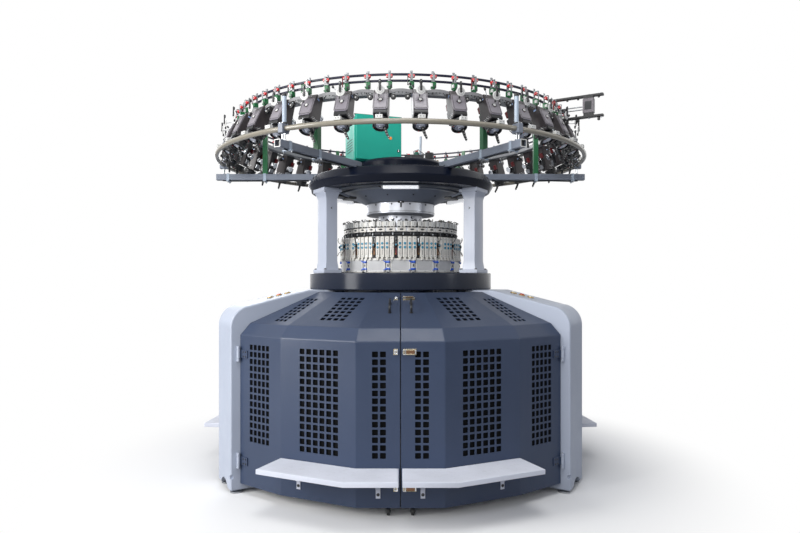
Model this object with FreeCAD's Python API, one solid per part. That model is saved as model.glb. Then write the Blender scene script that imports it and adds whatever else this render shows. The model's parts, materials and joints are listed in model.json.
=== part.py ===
"""Large-diameter circular knitting machine, in millimetres.

The origin is on the machine's axis at floor level. +Z is up and the door side faces -Y. Angles are
counted from the front, towards +X. A "reach" is a distance out from the axis, measured towards the
front before a piece is turned to its own angle.
"""

import FreeCAD, Part

import math
import os

V = FreeCAD.Vector
UP = V(0, 0, 1)
CENTRE = V(0, 0, 0)

# Flats that stand for a full turn, by how much of a piece can be seen.
ROUND_SIDES = 48
TURNED_SIDES = 30
HIDDEN_SIDES = 16
SMALL_SIDES = 8

# Plan of the base: a regular polygon of fifteen sides, five in each of the three bays between the legs.
BAYS = 3
SIDES_PER_BAY = 5
SIDE_ANGLE = 360 / (BAYS * SIDES_PER_BAY)
HALF_SIDE = SIDE_ANGLE / 2
LEG_ANGLE = 60              # of the legs beside the doors
LEG_ANGLES = (-LEG_ANGLE, LEG_ANGLE, 180)
REAR_BAY_ANGLES = (-120, 120)
GUARD_REACH = 1188          # flat of a side from the axis
GUARD_SHEET = 4
GUARD_BOTTOM = 65
GUARD_TOP = 1003            # top edge of the upright sheet
SHOULDER_REACH = 1132
SHOULDER_TOP = 1075
SLOPE_REACH = 712           # inner edge of the sloping sheet
SLOPE_TOP = 1268
END_SIDE_ANGLE = 36         # normal of the side next to a leg, which turns less than a regular one
END_CORNER = 57             # where the outline of that side stops, inside the leg
DOOR_SEAM = 6
DOOR_TO_LEG = 6             # gap between a door leaf and the side of a leg

# Square perforations of the upright sheets.
HOLE = 33
HOLE_PITCH_ACROSS = 45
HOLE_PITCH_DOWN = 44
HOLE_ROWS = 14
HOLE_TOP_ROW = 931
HOLE_COLUMNS = 6
HOLE_FIRST_COLUMN = 131     # from the corner of the side to the middle of its first column
END_SLOT_COLUMNS = 5        # on the sides next to a leg
END_SLOT_PITCH = 37
END_SLOT = 27
END_SLOT_COLUMN = 117

# Legs.
LEG_WIDTH = 305
LEG_PROUD = 132             # outer face of a leg beyond the flat of a side
LEG_REACH = GUARD_REACH + LEG_PROUD
LEG_INNER = 1000
LEG_WALL = 18
LEG_BOTTOM = 20
LEG_SHOULDER = 120          # from the outer face to where the rounded shoulder begins
LEG_SHOULDER_REACH = LEG_REACH - LEG_SHOULDER
LEG_SHOULDER_TOP = 1185
LEG_CORNER = 138            # height of the rounded shoulder
LEG_CORNER_IN = 21          # point of the rounding, in from the outer face
LEG_CORNER_DOWN = 62        # and below the start of the shoulder
LEG_SLOPE = 400             # run of the sloping top of a leg
LEG_BREAK_REACH = LEG_SHOULDER_REACH - LEG_SLOPE
LEG_HEAD_INNER = 600
LEG_HEAD_DEPTH = 110
LEG_KNEE = 880
ARCH_RADIUS = 95
ARCH_DEPTH = 170
FOOT_DISC = 42
FOOT_INSET = 52             # from the outer face of a leg to the middle of a disc
FOOT_OFFSET = 108
ANCHOR_REACH = 950
ANCHOR_HOLE = 11
FLOOR_PLATE_WIDTH = 160
FLOOR_PLATE_TAIL = 50

# Hinges of the door leaves.
HINGE_OFFSET = 14           # pin from the side of the leg
HINGE_STANDOFF = 17         # pin from the outer face of the leaf
HINGE_BARREL = 11
HINGE_PIN = 5
HINGE_CLEARANCE = 1.0
HINGE_HEIGHT = 50
HINGE_LUG = 22
HINGE_LEVELS = (212, 884)
HINGE_STRAP = 70
HINGE_STRAP_THICKNESS = 7
HINGE_LUG_HALF_DEPTH = 9
HINGE_KNUCKLE_GAP = 1
HINGE_PIN_END = 4

# Steps, handles, latches and casters of the doors.
STEP_TOP = 290
STEP_THICKNESS = 29
STEP_DEPTH = 245
STEP_SEAM = 20
STEP_BRACKET_WIDTH = 26
STEP_BRACKET_DEPTH = 90
STEP_BRACKET_HEIGHT = 95
HANDLE_X = 65
HANDLE_LENGTH = 130
HANDLE_RISE = 45
HANDLE_BAR = 14
HANDLE_UP_SLOPE = 245       # middle of a handle, measured up the slope from its lower edge
LATCH_LENGTH = 76
LATCH_WIDTH = 34
LATCH_THICKNESS = 7
LATCH_BASE = 5
LATCH_EDGE = 4              # base plate beyond the lever
LATCH_GAP = 1
LATCH_START = 14            # hinge of a latch from the middle of the seam
LATCH_LEVELS = (175, 945)
LATCH_UP_SLOPE = 372
KEEPER_LENGTH = 26
KEEPER_HOOK = 8
CASTER_X = 70
CASTER_INSET = 44
CASTER_WHEEL = 24
CASTER_WIDTH = 20
CASTER_TRAIL = 14
CASTER_AXLE = 4
CASTER_CLEARANCE = 0.5
CASTER_CHEEK = 3
CASTER_CHEEK_WIDTH = 20
CASTER_CROWN = 5
CASTER_CROWN_LENGTH = 40
CASTER_SIDE_GAP = 1
CASTER_SHELF = 8            # shelf beyond the wheel
FLOOR_GAP = 1

# Bed and columns.
BED_RADIUS = 676
BED_BOTTOM = 1280
BED_TOP = 1397
BED_WALL = 26
BED_PLATE = 22
BED_BORE = 392
COLUMN_REACH = 596
COLUMN_HALF_WIDTH = 76
COLUMN_FLANGE_HALF_WIDTH = 98
COLUMN_FLANGE_HALF_DEPTH = 68
COLUMN_FLANGE = 24
COLUMN_HALF_DEPTH = 42
COLUMN_RIDGE = 12           # height of the ridge on the outer side
COLUMN_FOOT_SPREAD = 8
COLUMN_FOOT_RISE = 60
COLUMN_HEAD_PLATE = 26
COLUMN_HEAD_SPREAD = 18
COLUMN_FLARE = 52           # height of the flare under the head plate

# Crown and what hangs from it.
CROWN_BOTTOM = 1990
CROWN_CREASE = 2037
CROWN_TOP = 2098
CROWN_RADIUS = 692
CROWN_FOOT_RADIUS = 664
CROWN_TOP_RADIUS = 655
BOSS_RADIUS = 332
BOSS_HEIGHT = 119
BOSS_CHAMFER = 18
GEAR_HOUSING_TOP_RADIUS = 430
GEAR_HOUSING_BOTTOM_RADIUS = 262
HUB_TOP = 1911
HUB_STEP = 1826
HUB_BOTTOM = 1712
HUB_RADIUS = 255
HUB_LOWER_RADIUS = 162
LAMP_REACH = 500
LAMP_LENGTH = 258
LAMP_HEIGHT = 30
LAMP_DEPTH = 44

# Knitting head.
CYLINDER_RADIUS = 381
CYLINDER_WALL = 28
CYLINDER_TOP = 1640
GEAR_BOTTOM = 1318
GEAR_TOP = 1358
GEAR_RADIUS = 522
CAM_CLEARANCE = 5
CAM_RADIUS = 451
CAM_BOTTOM = 1498
CAM_TOP = 1648
CAM_GROUPS = 18
CAM_PER_GROUP = 4
CAM_GAP = 4
CAM_GROUP_GAP = 22
BASE_RING_RADIUS = 432
COVER_COUNT = 16
COVER_THICKNESS = 10
COVER_GAP = 34
COVER_EDGE = 6              # base ring above and below a cover
DIAL_BOTTOM = 1652
DIAL_TOP = 1674
DIAL_RADIUS = 372
DIAL_PLATE_BOTTOM = 1680
DIAL_CAM_RADIUS = 421
DIAL_PLATE_INSET = 6
DIAL_CAM_INNER = 300
DIAL_CAM_TOP = 1758
DIAL_CAM_COUNT = 18
DIAL_CAM_GAP = 18
SHAFT_RADIUS = 40
SHAFT_CLEARANCE = 3
SHAFT_TOP = 1790

# Take-down and drive.
FRAME_HALF_SPAN = 430
FRAME_PLATE = 20
FRAME_HALF_DEPTH = 150
FRAME_BOTTOM = 300
FRAME_BEAM = 44
ROLLER_RADIUS = 35
ROLLER_END_GAP = 2
JOURNAL_RADIUS = 14
JOURNAL_CLEARANCE = 1.5
ROLLER_LEVEL = 700
ROLLER_SPACING = 72
BEAM_LEVEL = 470
BEAM_RADIUS = 38
PINION_RADIUS = 52
PINION_ANGLE = 150
TOOTH_ROOM = 12             # from the rim of the ring gear to the rim of the pinion
DRIVE_SHAFT_RADIUS = 20
DRIVE_SHAFT_SEAT = 45       # depth of the shaft's socket in the motor
DRIVE_SHAFT_CLEARANCE = 1.5
MOTOR_RADIUS = 92
MOTOR_BOTTOM = 700
MOTOR_TOP = 1040
MOTOR_PLATE = 24
MOTOR_PLATE_DROP = 60       # plate below the knee of the leg
MOTOR_PLATE_WIDTH = 110

# Arms and rings.
ARM_ANGLES = (-150, -90, -30, 30, 90, 150)
TUBE_REACH = 1332           # middle of the tube ring from the axis
ARM_END = 54                # end of an arm beyond the middle of the tube
ARM_REACH = TUBE_REACH + ARM_END
ARM_INNER = 560             # inner end of an arm, on the crown
ARM_WIDTH = 46
ARM_WALL = 4
TUBE_LEVEL = 2212
TUBE_RADIUS = 15
TUBE_SIDES = 6
CLAMP_WIDTH = 34
CLAMP_HALF_DEPTH = 30
CLAMP_MARGIN = 12           # clamp above and below the tube
CLAMP_STUD = 14             # half the depth of the stud under a clamp
OUTER_POST = 26
OUTER_POST_INSET = 8        # middle of a light post inside the middle of the tube
OUTER_POST_TOP = 2413
RAIL_INSET = 162            # outer face of the rails inside the middle of the tube
RAIL_REACH = TUBE_REACH - RAIL_INSET
RAIL_SECTION = 12
CARRIER_INSET = 20          # carrier ring inside the outer face of the rails
CARRIER_WIDTH = 50
CARRIER_OUTER = RAIL_REACH - CARRIER_INSET
CARRIER_INNER = CARRIER_OUTER - CARRIER_WIDTH
CARRIER_BOTTOM = 2405
CARRIER_THICKNESS = 30
INNER_POST = 36
INNER_POST_INSET = 80       # middle of a green post inside the carrier ring
INNER_POST_REACH = CARRIER_INNER - INNER_POST_INSET
BRACKET_WIDTH = 30
BRACKET_THICKNESS = 12
RAIL_STEP = 36              # from the middle of one rail to the next
RAIL_RISE = 77              # middle of the lower rail above the underside of the carrier ring
RAIL_LEVELS = (CARRIER_BOTTOM + RAIL_RISE, CARRIER_BOTTOM + RAIL_RISE + RAIL_STEP)

# Yarn feeders and stop motions.
FEEDERS = 36
FEEDER_WIDTH = 88
FEEDER_FACE_BOTTOM = 2262
FEEDER_TOP = 2425
FEEDER_FOOT_DEPTH = 108
FEEDER_DEPTH = 150          # from the carrier ring to the lower edge of the face
FEEDER_TOP_DEPTH = 72
FEEDER_FACE_REACH = CARRIER_OUTER + FEEDER_DEPTH
FEEDER_TOP_REACH = CARRIER_OUTER + FEEDER_TOP_DEPTH
WHEEL_RADIUS = 46
WHEEL_HEIGHT = 46
WHEEL_INSET = 56            # axis of a wheel behind the lower edge of the face
STOPS = 60
STOP_WIDTH = 16
STOP_DEPTH = 16
STOP_TOP = 2537
STOP_BODY_WIDTH = 32
STOP_BODY_BOTTOM = 2428
STOP_BODY_TOP = 2470
STOP_LAMP_WIDTH = 28
STOP_LAMP_HEIGHT = 22

# Cabinet, push buttons and belt tension device.
CABINET_WIDTH = 362
CABINET_DEPTH = 270
CABINET_HEIGHT = 341
CABINET_X = -207
CABINET_TURN = 19
CABINET_DOOR = 18
CABINET_DOOR_GAP = 1
CABINET_DOOR_MARGIN = 8
BUTTON_INSETS = (308, 248, 188)     # up the top of a leg from its shoulder
BUTTON_RADIUS = 15
BUTTON_CLEARANCE = 1.5
BUTTON_HEIGHT = 12
BUTTON_SINK = 14
BUTTON_TRAVEL = 5            # room under a cap at rest
TENSIONER_ANGLE = 60
TENSIONER_LENGTH = 320      # beyond the outer face of the rails
TENSIONER_OUTER = RAIL_REACH + TENSIONER_LENGTH
TENSIONER_BAR = 14
TENSIONER_BAR_WIDTH = 34
TENSIONER_BLOCK = 62


# --- helpers --------------------------------------------------------------------------------------

def at(radius, angle, z=0):
    """Point at a radius and an angle from the front."""
    turn = math.radians(angle)
    return V(radius * math.sin(turn), -radius * math.cos(turn), z)


def turned(shape, angle):
    """Copy of a shape turned about the machine's axis."""
    copy = shape.copy()
    copy.rotate(CENTRE, UP, angle)
    return copy


def around(shape, angles):
    return [turned(shape, angle) for angle in angles]


def evenly(count, start=0.0):
    return [start + 360 / count * k for k in range(count)]


def mirrored(shape):
    """Copy of a shape on the other side of the plane of the door seam."""
    return shape.mirror(CENTRE, V(1, 0, 0))


def face_of(points):
    return Part.Face(Part.makePolygon(points + points[:1]))


def closed(faces):
    """Solid inside a full set of faces."""
    solid = Part.Solid(Part.Shell(faces))
    if solid.Volume < 0:
        solid.reverse()
    return solid.removeSplitter()


def block(x0, x1, reach0, reach1, z0, z1):
    """Box on the front side, between two distances from the axis."""
    return Part.makeBox(x1 - x0, reach1 - reach0, z1 - z0, V(x0, -reach1, z0))


def side_profile(points, width, x=0.0):
    """Outline of (reach, z) points, drawn out across the front to a width."""
    corners = [V(x - width / 2, -reach, z) for reach, z in points]
    return face_of(corners).extrude(V(width, 0, 0))


def plan(points, z0, z1):
    """Outline of (x, reach) points, drawn up from one level to another."""
    corners = [V(x, -reach, z0) for x, reach in points]
    return face_of(corners).extrude(V(0, 0, z1 - z0))


def lathe(points, sides):
    """Closed outline of (radius, z) points carried round the machine's axis; the radii are to the flats."""
    scale = 1 / math.cos(math.pi / sides)
    rings = [[at(radius * scale, angle, z) for radius, z in points]
             for angle in evenly(sides, 180 / sides)]
    faces = []
    for ring, after in zip(rings, rings[1:] + rings[:1]):
        for i in range(len(points)):
            j = (i + 1) % len(points)
            corners = [ring[i], ring[j]]
            if points[j][0] > 0:
                corners.append(after[j])
            if points[i][0] > 0:
                corners.append(after[i])
            if len(corners) > 2:
                faces.append(face_of(corners))
    return closed(faces)


def flat_ring(inner, outer, z0, z1, sides):
    """Ring of straight lengths, the first of which faces the front."""
    return lathe([(inner, z0), (outer, z0), (outer, z1), (inner, z1)], sides)


def prism(radius, sides, height, base=CENTRE, axis=UP):
    """Regular prism whose flats are at a radius from its axis."""
    corner = radius / math.cos(math.pi / sides)
    steps = [2 * math.pi * (k + 0.5) / sides for k in range(sides)]
    shape = face_of([V(corner * math.cos(t), corner * math.sin(t), 0) for t in steps]).extrude(UP * height)
    shape.Placement = FreeCAD.Placement(base, FreeCAD.Rotation(UP, axis))
    return shape


def skin(sections):
    """Flat-sided solid through closed outlines that have as many corners each."""
    faces = [face_of(sections[0]), face_of(sections[-1])]
    for low, high in zip(sections, sections[1:]):
        for i in range(len(low)):
            j = (i + 1) % len(low)
            faces.append(face_of([low[i], low[j], high[j]]))
            faces.append(face_of([low[i], high[j], high[i]]))
    return closed(faces)


def offset_line(points, distance):
    """Open line of (reach, z) points moved sideways by a distance, towards the inside of the guard."""
    shifted = []
    for (r0, z0), (r1, z1) in zip(points, points[1:]):
        length = math.hypot(r1 - r0, z1 - z0)
        move_r = -(z1 - z0) / length * distance
        move_z = (r1 - r0) / length * distance
        shifted.append(((r0 + move_r, z0 + move_z), (r1 + move_r, z1 + move_z)))
    line = [shifted[0][0]]
    for (a, b), (c, d) in zip(shifted, shifted[1:]):
        line.append(crossing(a, b, c, d))
    return line + [shifted[-1][1]]


def crossing(a, b, c, d):
    """Where the line through a and b meets the line through c and d."""
    ab = (b[0] - a[0], b[1] - a[1])
    cd = (d[0] - c[0], d[1] - c[1])
    across = ab[0] * cd[1] - ab[1] * cd[0]
    along = ((c[0] - a[0]) * cd[1] - (c[1] - a[1]) * cd[0]) / across
    return (a[0] + along * ab[0], a[1] + along * ab[1])


def joined(shapes):
    return shapes[0].fuse(shapes[1:]).removeSplitter()


def group(shapes):
    """Separate solids kept in one node."""
    return Part.makeCompound([solid for shape in shapes for solid in shape.Solids])


# --- base -----------------------------------------------------------------------------------------

GUARD_LINE = [
    (GUARD_REACH, GUARD_BOTTOM),
    (GUARD_REACH, GUARD_TOP),
    (SHOULDER_REACH, SHOULDER_TOP),
    (SLOPE_REACH, SLOPE_TOP),
]
SLOPE_LENGTH = math.hypot(SHOULDER_REACH - SLOPE_REACH, SLOPE_TOP - SHOULDER_TOP)
SLOPE_IN = (SHOULDER_REACH - SLOPE_REACH) / SLOPE_LENGTH
SLOPE_RISE = (SLOPE_TOP - SHOULDER_TOP) / SLOPE_LENGTH


LAST_CORNER = 3 * HALF_SIDE
CORNER_SCALE = 1 / math.cos(math.radians(HALF_SIDE))
END_SCALE = CORNER_SCALE * math.cos(math.radians(END_SIDE_ANGLE - LAST_CORNER))
END_CORNER_SCALE = END_SCALE / math.cos(math.radians(END_CORNER - END_SIDE_ANGLE))
END_REACH = GUARD_REACH * END_SCALE     # flat of the side next to a leg from the axis
HALF_CORNERS = [(HALF_SIDE, CORNER_SCALE), (LAST_CORNER, CORNER_SCALE), (END_CORNER, END_CORNER_SCALE)]


def leg_room(gap):
    """Space that a guard leaves for the legs beside its bay, with a gap to them."""
    half = LEG_WIDTH / 2 + gap
    box = block(-half, half, LEG_HEAD_INNER, LEG_REACH, 0, SLOPE_TOP + LEG_WALL)
    return around(box, (-LEG_ANGLE, LEG_ANGLE))


def guard(corners, gap):
    """Faceted sheet of the front bay, through corners given as (angle, scale of the guard's reaches)."""
    section = GUARD_LINE + offset_line(GUARD_LINE, GUARD_SHEET)[::-1]
    outlines = [[at(reach * scale, angle, z) for reach, z in section] for angle, scale in corners]
    return skin(outlines).cut(leg_room(gap))


def perforations():
    """Square openings of the second side of the right leaf."""
    columns = range(HOLE_COLUMNS)
    half_side = GUARD_REACH * math.tan(math.radians(HALF_SIDE))
    cutters = []
    for column in columns:
        x = -half_side + HOLE_FIRST_COLUMN + column * HOLE_PITCH_ACROSS
        for row in range(HOLE_ROWS):
            z = HOLE_TOP_ROW - row * HOLE_PITCH_DOWN
            cutters.append(block(x - HOLE / 2, x + HOLE / 2, GUARD_REACH - 2 * GUARD_SHEET,
                                 GUARD_REACH + GUARD_SHEET, z - HOLE / 2, z + HOLE / 2))
    return around(Part.makeCompound(cutters), (SIDE_ANGLE,))


def hinge_point():
    """Hinge pin of a leaf, as its distance across from the middle of the leg and its reach there."""
    lateral = LEG_WIDTH / 2 + HINGE_OFFSET
    tilt = math.radians(LEG_ANGLE - END_SIDE_ANGLE)
    reach = (END_REACH + HINGE_STANDOFF - lateral * math.sin(tilt)) / math.cos(tilt)
    return lateral, reach


def hinge_barrels(level):
    """Barrel and strap of one hinge, on the last side of the right leaf."""
    lateral, reach = hinge_point()
    tilt = math.radians(LEG_ANGLE - END_SIDE_ANGLE)
    x = reach * math.sin(tilt) - lateral * math.cos(tilt)
    out = END_REACH + HINGE_STANDOFF
    z0 = level - HINGE_HEIGHT / 2
    z1 = level + HINGE_HEIGHT / 2
    barrel = prism(HINGE_BARREL, SMALL_SIDES, HINGE_HEIGHT, V(x, -out, z0))
    neck = block(x - HINGE_BARREL, x, END_REACH, out, z0, z1)
    strap = block(x - HINGE_STRAP, x - HINGE_BARREL, END_REACH, END_REACH + HINGE_STRAP_THICKNESS, z0, z1)
    bore = prism(HINGE_PIN + HINGE_CLEARANCE, SMALL_SIDES, HINGE_HEIGHT, V(x, -out, z0))
    return turned(joined([barrel, neck, strap]).cut(bore), END_SIDE_ANGLE)


def hinge_lugs(level, side):
    """Two lugs and the pin of one hinge, on a leg at the front; side is -1 or +1 across the leg."""
    lateral, reach = hinge_point()
    half = HINGE_LUG_HALF_DEPTH
    far = lateral + half
    x0, x1 = sorted((side * LEG_WIDTH / 2, side * far))
    edge = HINGE_HEIGHT / 2 + HINGE_KNUCKLE_GAP
    lugs = [block(x0, x1, reach - half, reach + half, level + z - HINGE_LUG / 2, level + z + HINGE_LUG / 2)
            for z in (-edge - HINGE_LUG / 2, edge + HINGE_LUG / 2)]
    length = 2 * (edge + HINGE_LUG + HINGE_PIN_END)
    pin = prism(HINGE_PIN, SMALL_SIDES, length, V(side * lateral, -reach, level - length / 2))
    return lugs + [pin]


def leg():
    """One leg casting, facing the front: a rounded box, open towards the inside of the machine."""
    corner = LEG_CORNER
    middle = V(0, LEG_CORNER_IN - LEG_REACH, LEG_SHOULDER_TOP - LEG_CORNER_DOWN)
    outer = [
        V(0, -LEG_HEAD_INNER, BED_BOTTOM),
        V(0, -LEG_BREAK_REACH, BED_BOTTOM),
        V(0, -LEG_SHOULDER_REACH, LEG_SHOULDER_TOP),
    ]
    arc = Part.Arc(outer[-1], middle, V(0, -LEG_REACH, LEG_SHOULDER_TOP - corner))
    lower = [
        V(0, -LEG_REACH, LEG_SHOULDER_TOP - corner),
        V(0, -LEG_REACH, LEG_BOTTOM),
        V(0, -LEG_INNER, LEG_BOTTOM),
        V(0, -LEG_INNER, LEG_KNEE),
        V(0, -LEG_HEAD_INNER, BED_BOTTOM - LEG_HEAD_DEPTH),
        outer[0],
    ]
    outline = Part.Wire([*Part.makePolygon(outer).Edges, arc.toShape(), *Part.makePolygon(lower).Edges])
    solid = Part.Face(outline).extrude(V(LEG_WIDTH, 0, 0))
    solid.translate(V(-LEG_WIDTH / 2, 0, 0))
    inside = LEG_WIDTH / 2 - LEG_WALL
    pocket = side_profile([
        (LEG_INNER - 1, LEG_BOTTOM + LEG_WALL),
        (LEG_REACH - LEG_WALL, LEG_BOTTOM + LEG_WALL),
        (LEG_REACH - LEG_WALL, LEG_SHOULDER_TOP - corner - LEG_WALL),
        (LEG_SHOULDER_REACH - LEG_WALL, LEG_SHOULDER_TOP - 3 * LEG_WALL),
        (LEG_BREAK_REACH, BED_BOTTOM - 4 * LEG_WALL),
        (LEG_BREAK_REACH, LEG_KNEE),
    ], 2 * inside)
    arch = prism(ARCH_RADIUS, 2 * SMALL_SIDES, ARCH_DEPTH,
                 V(0, ARCH_DEPTH - LEG_REACH, LEG_BOTTOM - ARCH_RADIUS / 2), V(0, -1, 0))
    return solid.cut([pocket, arch])


def button_frame(inset):
    """Point on the sloping top of a leg and the direction out of it, for a leg at the front."""
    fall = BED_BOTTOM - LEG_SHOULDER_TOP
    point = V(0, inset - LEG_SHOULDER_REACH, LEG_SHOULDER_TOP + inset * fall / LEG_SLOPE)
    return point, V(0, -fall, LEG_SLOPE).normalize()


def legs():
    plain = leg()
    wells = []
    for inset in BUTTON_INSETS:
        point, out = button_frame(inset)
        radius = BUTTON_RADIUS + BUTTON_CLEARANCE
        wells.append(prism(radius, SMALL_SIDES, BUTTON_SINK + LEG_WALL, point - out * BUTTON_SINK, out))
    drilled = plain.cut(wells)
    right = joined([drilled] + [piece for level in HINGE_LEVELS for piece in hinge_lugs(level, -1)])
    left = joined([drilled] + [piece for level in HINGE_LEVELS for piece in hinge_lugs(level, 1)])
    return group([turned(left, -LEG_ANGLE), turned(right, LEG_ANGLE), turned(plain, 180)])


def buttons():
    """Caps of the push buttons, by node name."""
    caps = {}
    for side, angle in (("left", -LEG_ANGLE), ("right", LEG_ANGLE)):
        for name, inset in zip(("upper", "middle", "lower"), BUTTON_INSETS):
            point, out = button_frame(inset)
            base = point - out * (BUTTON_SINK - BUTTON_TRAVEL)
            cap = prism(BUTTON_RADIUS, SMALL_SIDES, BUTTON_SINK - BUTTON_TRAVEL + BUTTON_HEIGHT, base, out)
            caps[f"button_{side}_{name}"] = turned(cap, angle)
    return caps


def feet():
    """Levelling discs under the outer corners and a drilled floor plate under the inner edge of each leg."""
    pieces = []
    for x in (-FOOT_OFFSET, FOOT_OFFSET):
        pieces.append(prism(FOOT_DISC, SMALL_SIDES, LEG_BOTTOM, V(x, FOOT_INSET - LEG_REACH, 0)))
    half = FLOOR_PLATE_WIDTH / 2
    plate = block(-half, half, ANCHOR_REACH - FLOOR_PLATE_TAIL, LEG_INNER + 2 * FLOOR_PLATE_TAIL,
                  0, LEG_BOTTOM)
    pieces.append(plate.cut(Part.makeCylinder(ANCHOR_HOLE, LEG_BOTTOM, V(0, -ANCHOR_REACH, 0))))
    return group(around(Part.makeCompound(pieces), LEG_ANGLES))


def door_right():
    """Perforated leaf from the seam to the right leg, with its hinge barrels and caster shelf."""
    leaf = guard([(0, 1)] + HALF_CORNERS, DOOR_TO_LEG)
    seam = block(-DOOR_SEAM, DOOR_SEAM / 2, 0, LEG_REACH, 0, SLOPE_TOP + LEG_WALL)
    leaf = leaf.cut([seam] + perforations())
    half = CASTER_WHEEL + CASTER_SHELF
    inner = GUARD_REACH - GUARD_SHEET
    shelf = block(CASTER_X - half, CASTER_X + half, inner - CASTER_INSET - half, inner,
                  GUARD_BOTTOM, GUARD_BOTTOM + GUARD_SHEET)
    return joined([leaf, shelf] + [hinge_barrels(level) for level in HINGE_LEVELS])


def step_right():
    """Step on the outside of the right leaf, along half of the middle side and all of the next one."""
    outer = GUARD_REACH + STEP_DEPTH
    corner = 1 / math.cos(math.radians(HALF_SIDE))
    ends = [at(GUARD_REACH * corner, 3 * HALF_SIDE), at(GUARD_REACH * corner, HALF_SIDE)]
    end_out = ends[0] + at(STEP_DEPTH, SIDE_ANGLE)
    bend_out = at(outer * corner, HALF_SIDE)
    points = [(STEP_SEAM / 2, GUARD_REACH), (STEP_SEAM / 2, outer)]
    points += [(p.x, -p.y) for p in (bend_out, end_out, ends[0], ends[1])]
    tread = plan(points, STEP_TOP - STEP_THICKNESS, STEP_TOP)
    bottom = STEP_TOP - STEP_THICKNESS
    cheek = [(GUARD_REACH, bottom), (GUARD_REACH + STEP_BRACKET_DEPTH, bottom),
             (GUARD_REACH, bottom - STEP_BRACKET_HEIGHT)]
    half_side = GUARD_REACH * math.tan(math.radians(HALF_SIDE))
    pieces = [tread, side_profile(cheek, STEP_BRACKET_WIDTH, half_side / 2)]
    pieces.append(turned(side_profile(cheek, STEP_BRACKET_WIDTH, half_side / 2), SIDE_ANGLE))
    return joined(pieces)


def on_slope(x, up, out):
    """Point above the sloping sheet of the middle side: across, up the slope and out of the sheet."""
    reach = SHOULDER_REACH - up * SLOPE_IN + out * SLOPE_RISE
    return V(x, -reach, SHOULDER_TOP + up * SLOPE_RISE + out * SLOPE_IN)


def slope_block(x0, x1, up0, up1, out0, out1):
    corners = [(up0, out0), (up1, out0), (up1, out1), (up0, out1)]
    return face_of([on_slope(x0, up, out) for up, out in corners]).extrude(V(x1 - x0, 0, 0))


def handle_right():
    """Pull handle bridging along the slope."""
    x0 = HANDLE_X - HANDLE_BAR / 2
    x1 = HANDLE_X + HANDLE_BAR / 2
    low = HANDLE_UP_SLOPE - HANDLE_LENGTH / 2
    high = HANDLE_UP_SLOPE + HANDLE_LENGTH / 2
    bridge = slope_block(x0, x1, low, high, 0, HANDLE_RISE)
    gap = slope_block(x0 - 1, x1 + 1, low + HANDLE_BAR, high - HANDLE_BAR, -1, HANDLE_RISE - HANDLE_BAR)
    return bridge.cut(gap)


def latch_at(level):
    """Base and lever of a latch on the upright sheet."""
    half = LATCH_WIDTH / 2
    end = LATCH_START + LATCH_LENGTH
    base = block(LATCH_START, end, GUARD_REACH, GUARD_REACH + LATCH_BASE, level - half, level + half)
    out = GUARD_REACH + LATCH_BASE + LATCH_GAP
    lever = block(LATCH_START, end, out, out + LATCH_THICKNESS,
                  level - half + LATCH_EDGE, level + half - LATCH_EDGE)
    return base, lever


def latch_on_slope():
    half = LATCH_WIDTH / 2
    end = LATCH_START + LATCH_LENGTH
    low = LATCH_UP_SLOPE - half
    high = LATCH_UP_SLOPE + half
    base = slope_block(LATCH_START, end, low, high, 0, LATCH_BASE)
    out = LATCH_BASE + LATCH_GAP
    lever = slope_block(LATCH_START, end, low + LATCH_EDGE, high - LATCH_EDGE, out, out + LATCH_THICKNESS)
    return base, lever


def latches():
    """Bases, keepers and the three levers of the door latches."""
    bases, levers = zip(latch_at(LATCH_LEVELS[0]), latch_at(LATCH_LEVELS[1]), latch_on_slope())
    keepers = []
    half = LATCH_WIDTH / 2
    for level in LATCH_LEVELS:
        plate = block(-LATCH_START - KEEPER_LENGTH, -LATCH_START, GUARD_REACH, GUARD_REACH + LATCH_BASE,
                      level - half, level + half)
        hook = block(-LATCH_START - KEEPER_HOOK, -LATCH_START, GUARD_REACH, GUARD_REACH + 3 * LATCH_BASE,
                     level - half + LATCH_EDGE, level + half - LATCH_EDGE)
        keepers.append(joined([plate, hook]))
    plate = slope_block(-LATCH_START - KEEPER_LENGTH, -LATCH_START, LATCH_UP_SLOPE - half,
                        LATCH_UP_SLOPE + half, 0, LATCH_BASE)
    hook = slope_block(-LATCH_START - KEEPER_HOOK, -LATCH_START, LATCH_UP_SLOPE - half + LATCH_EDGE,
                       LATCH_UP_SLOPE + half - LATCH_EDGE, 0, 3 * LATCH_BASE)
    keepers.append(joined([plate, hook]))
    return group(bases), group(keepers), levers


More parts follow.
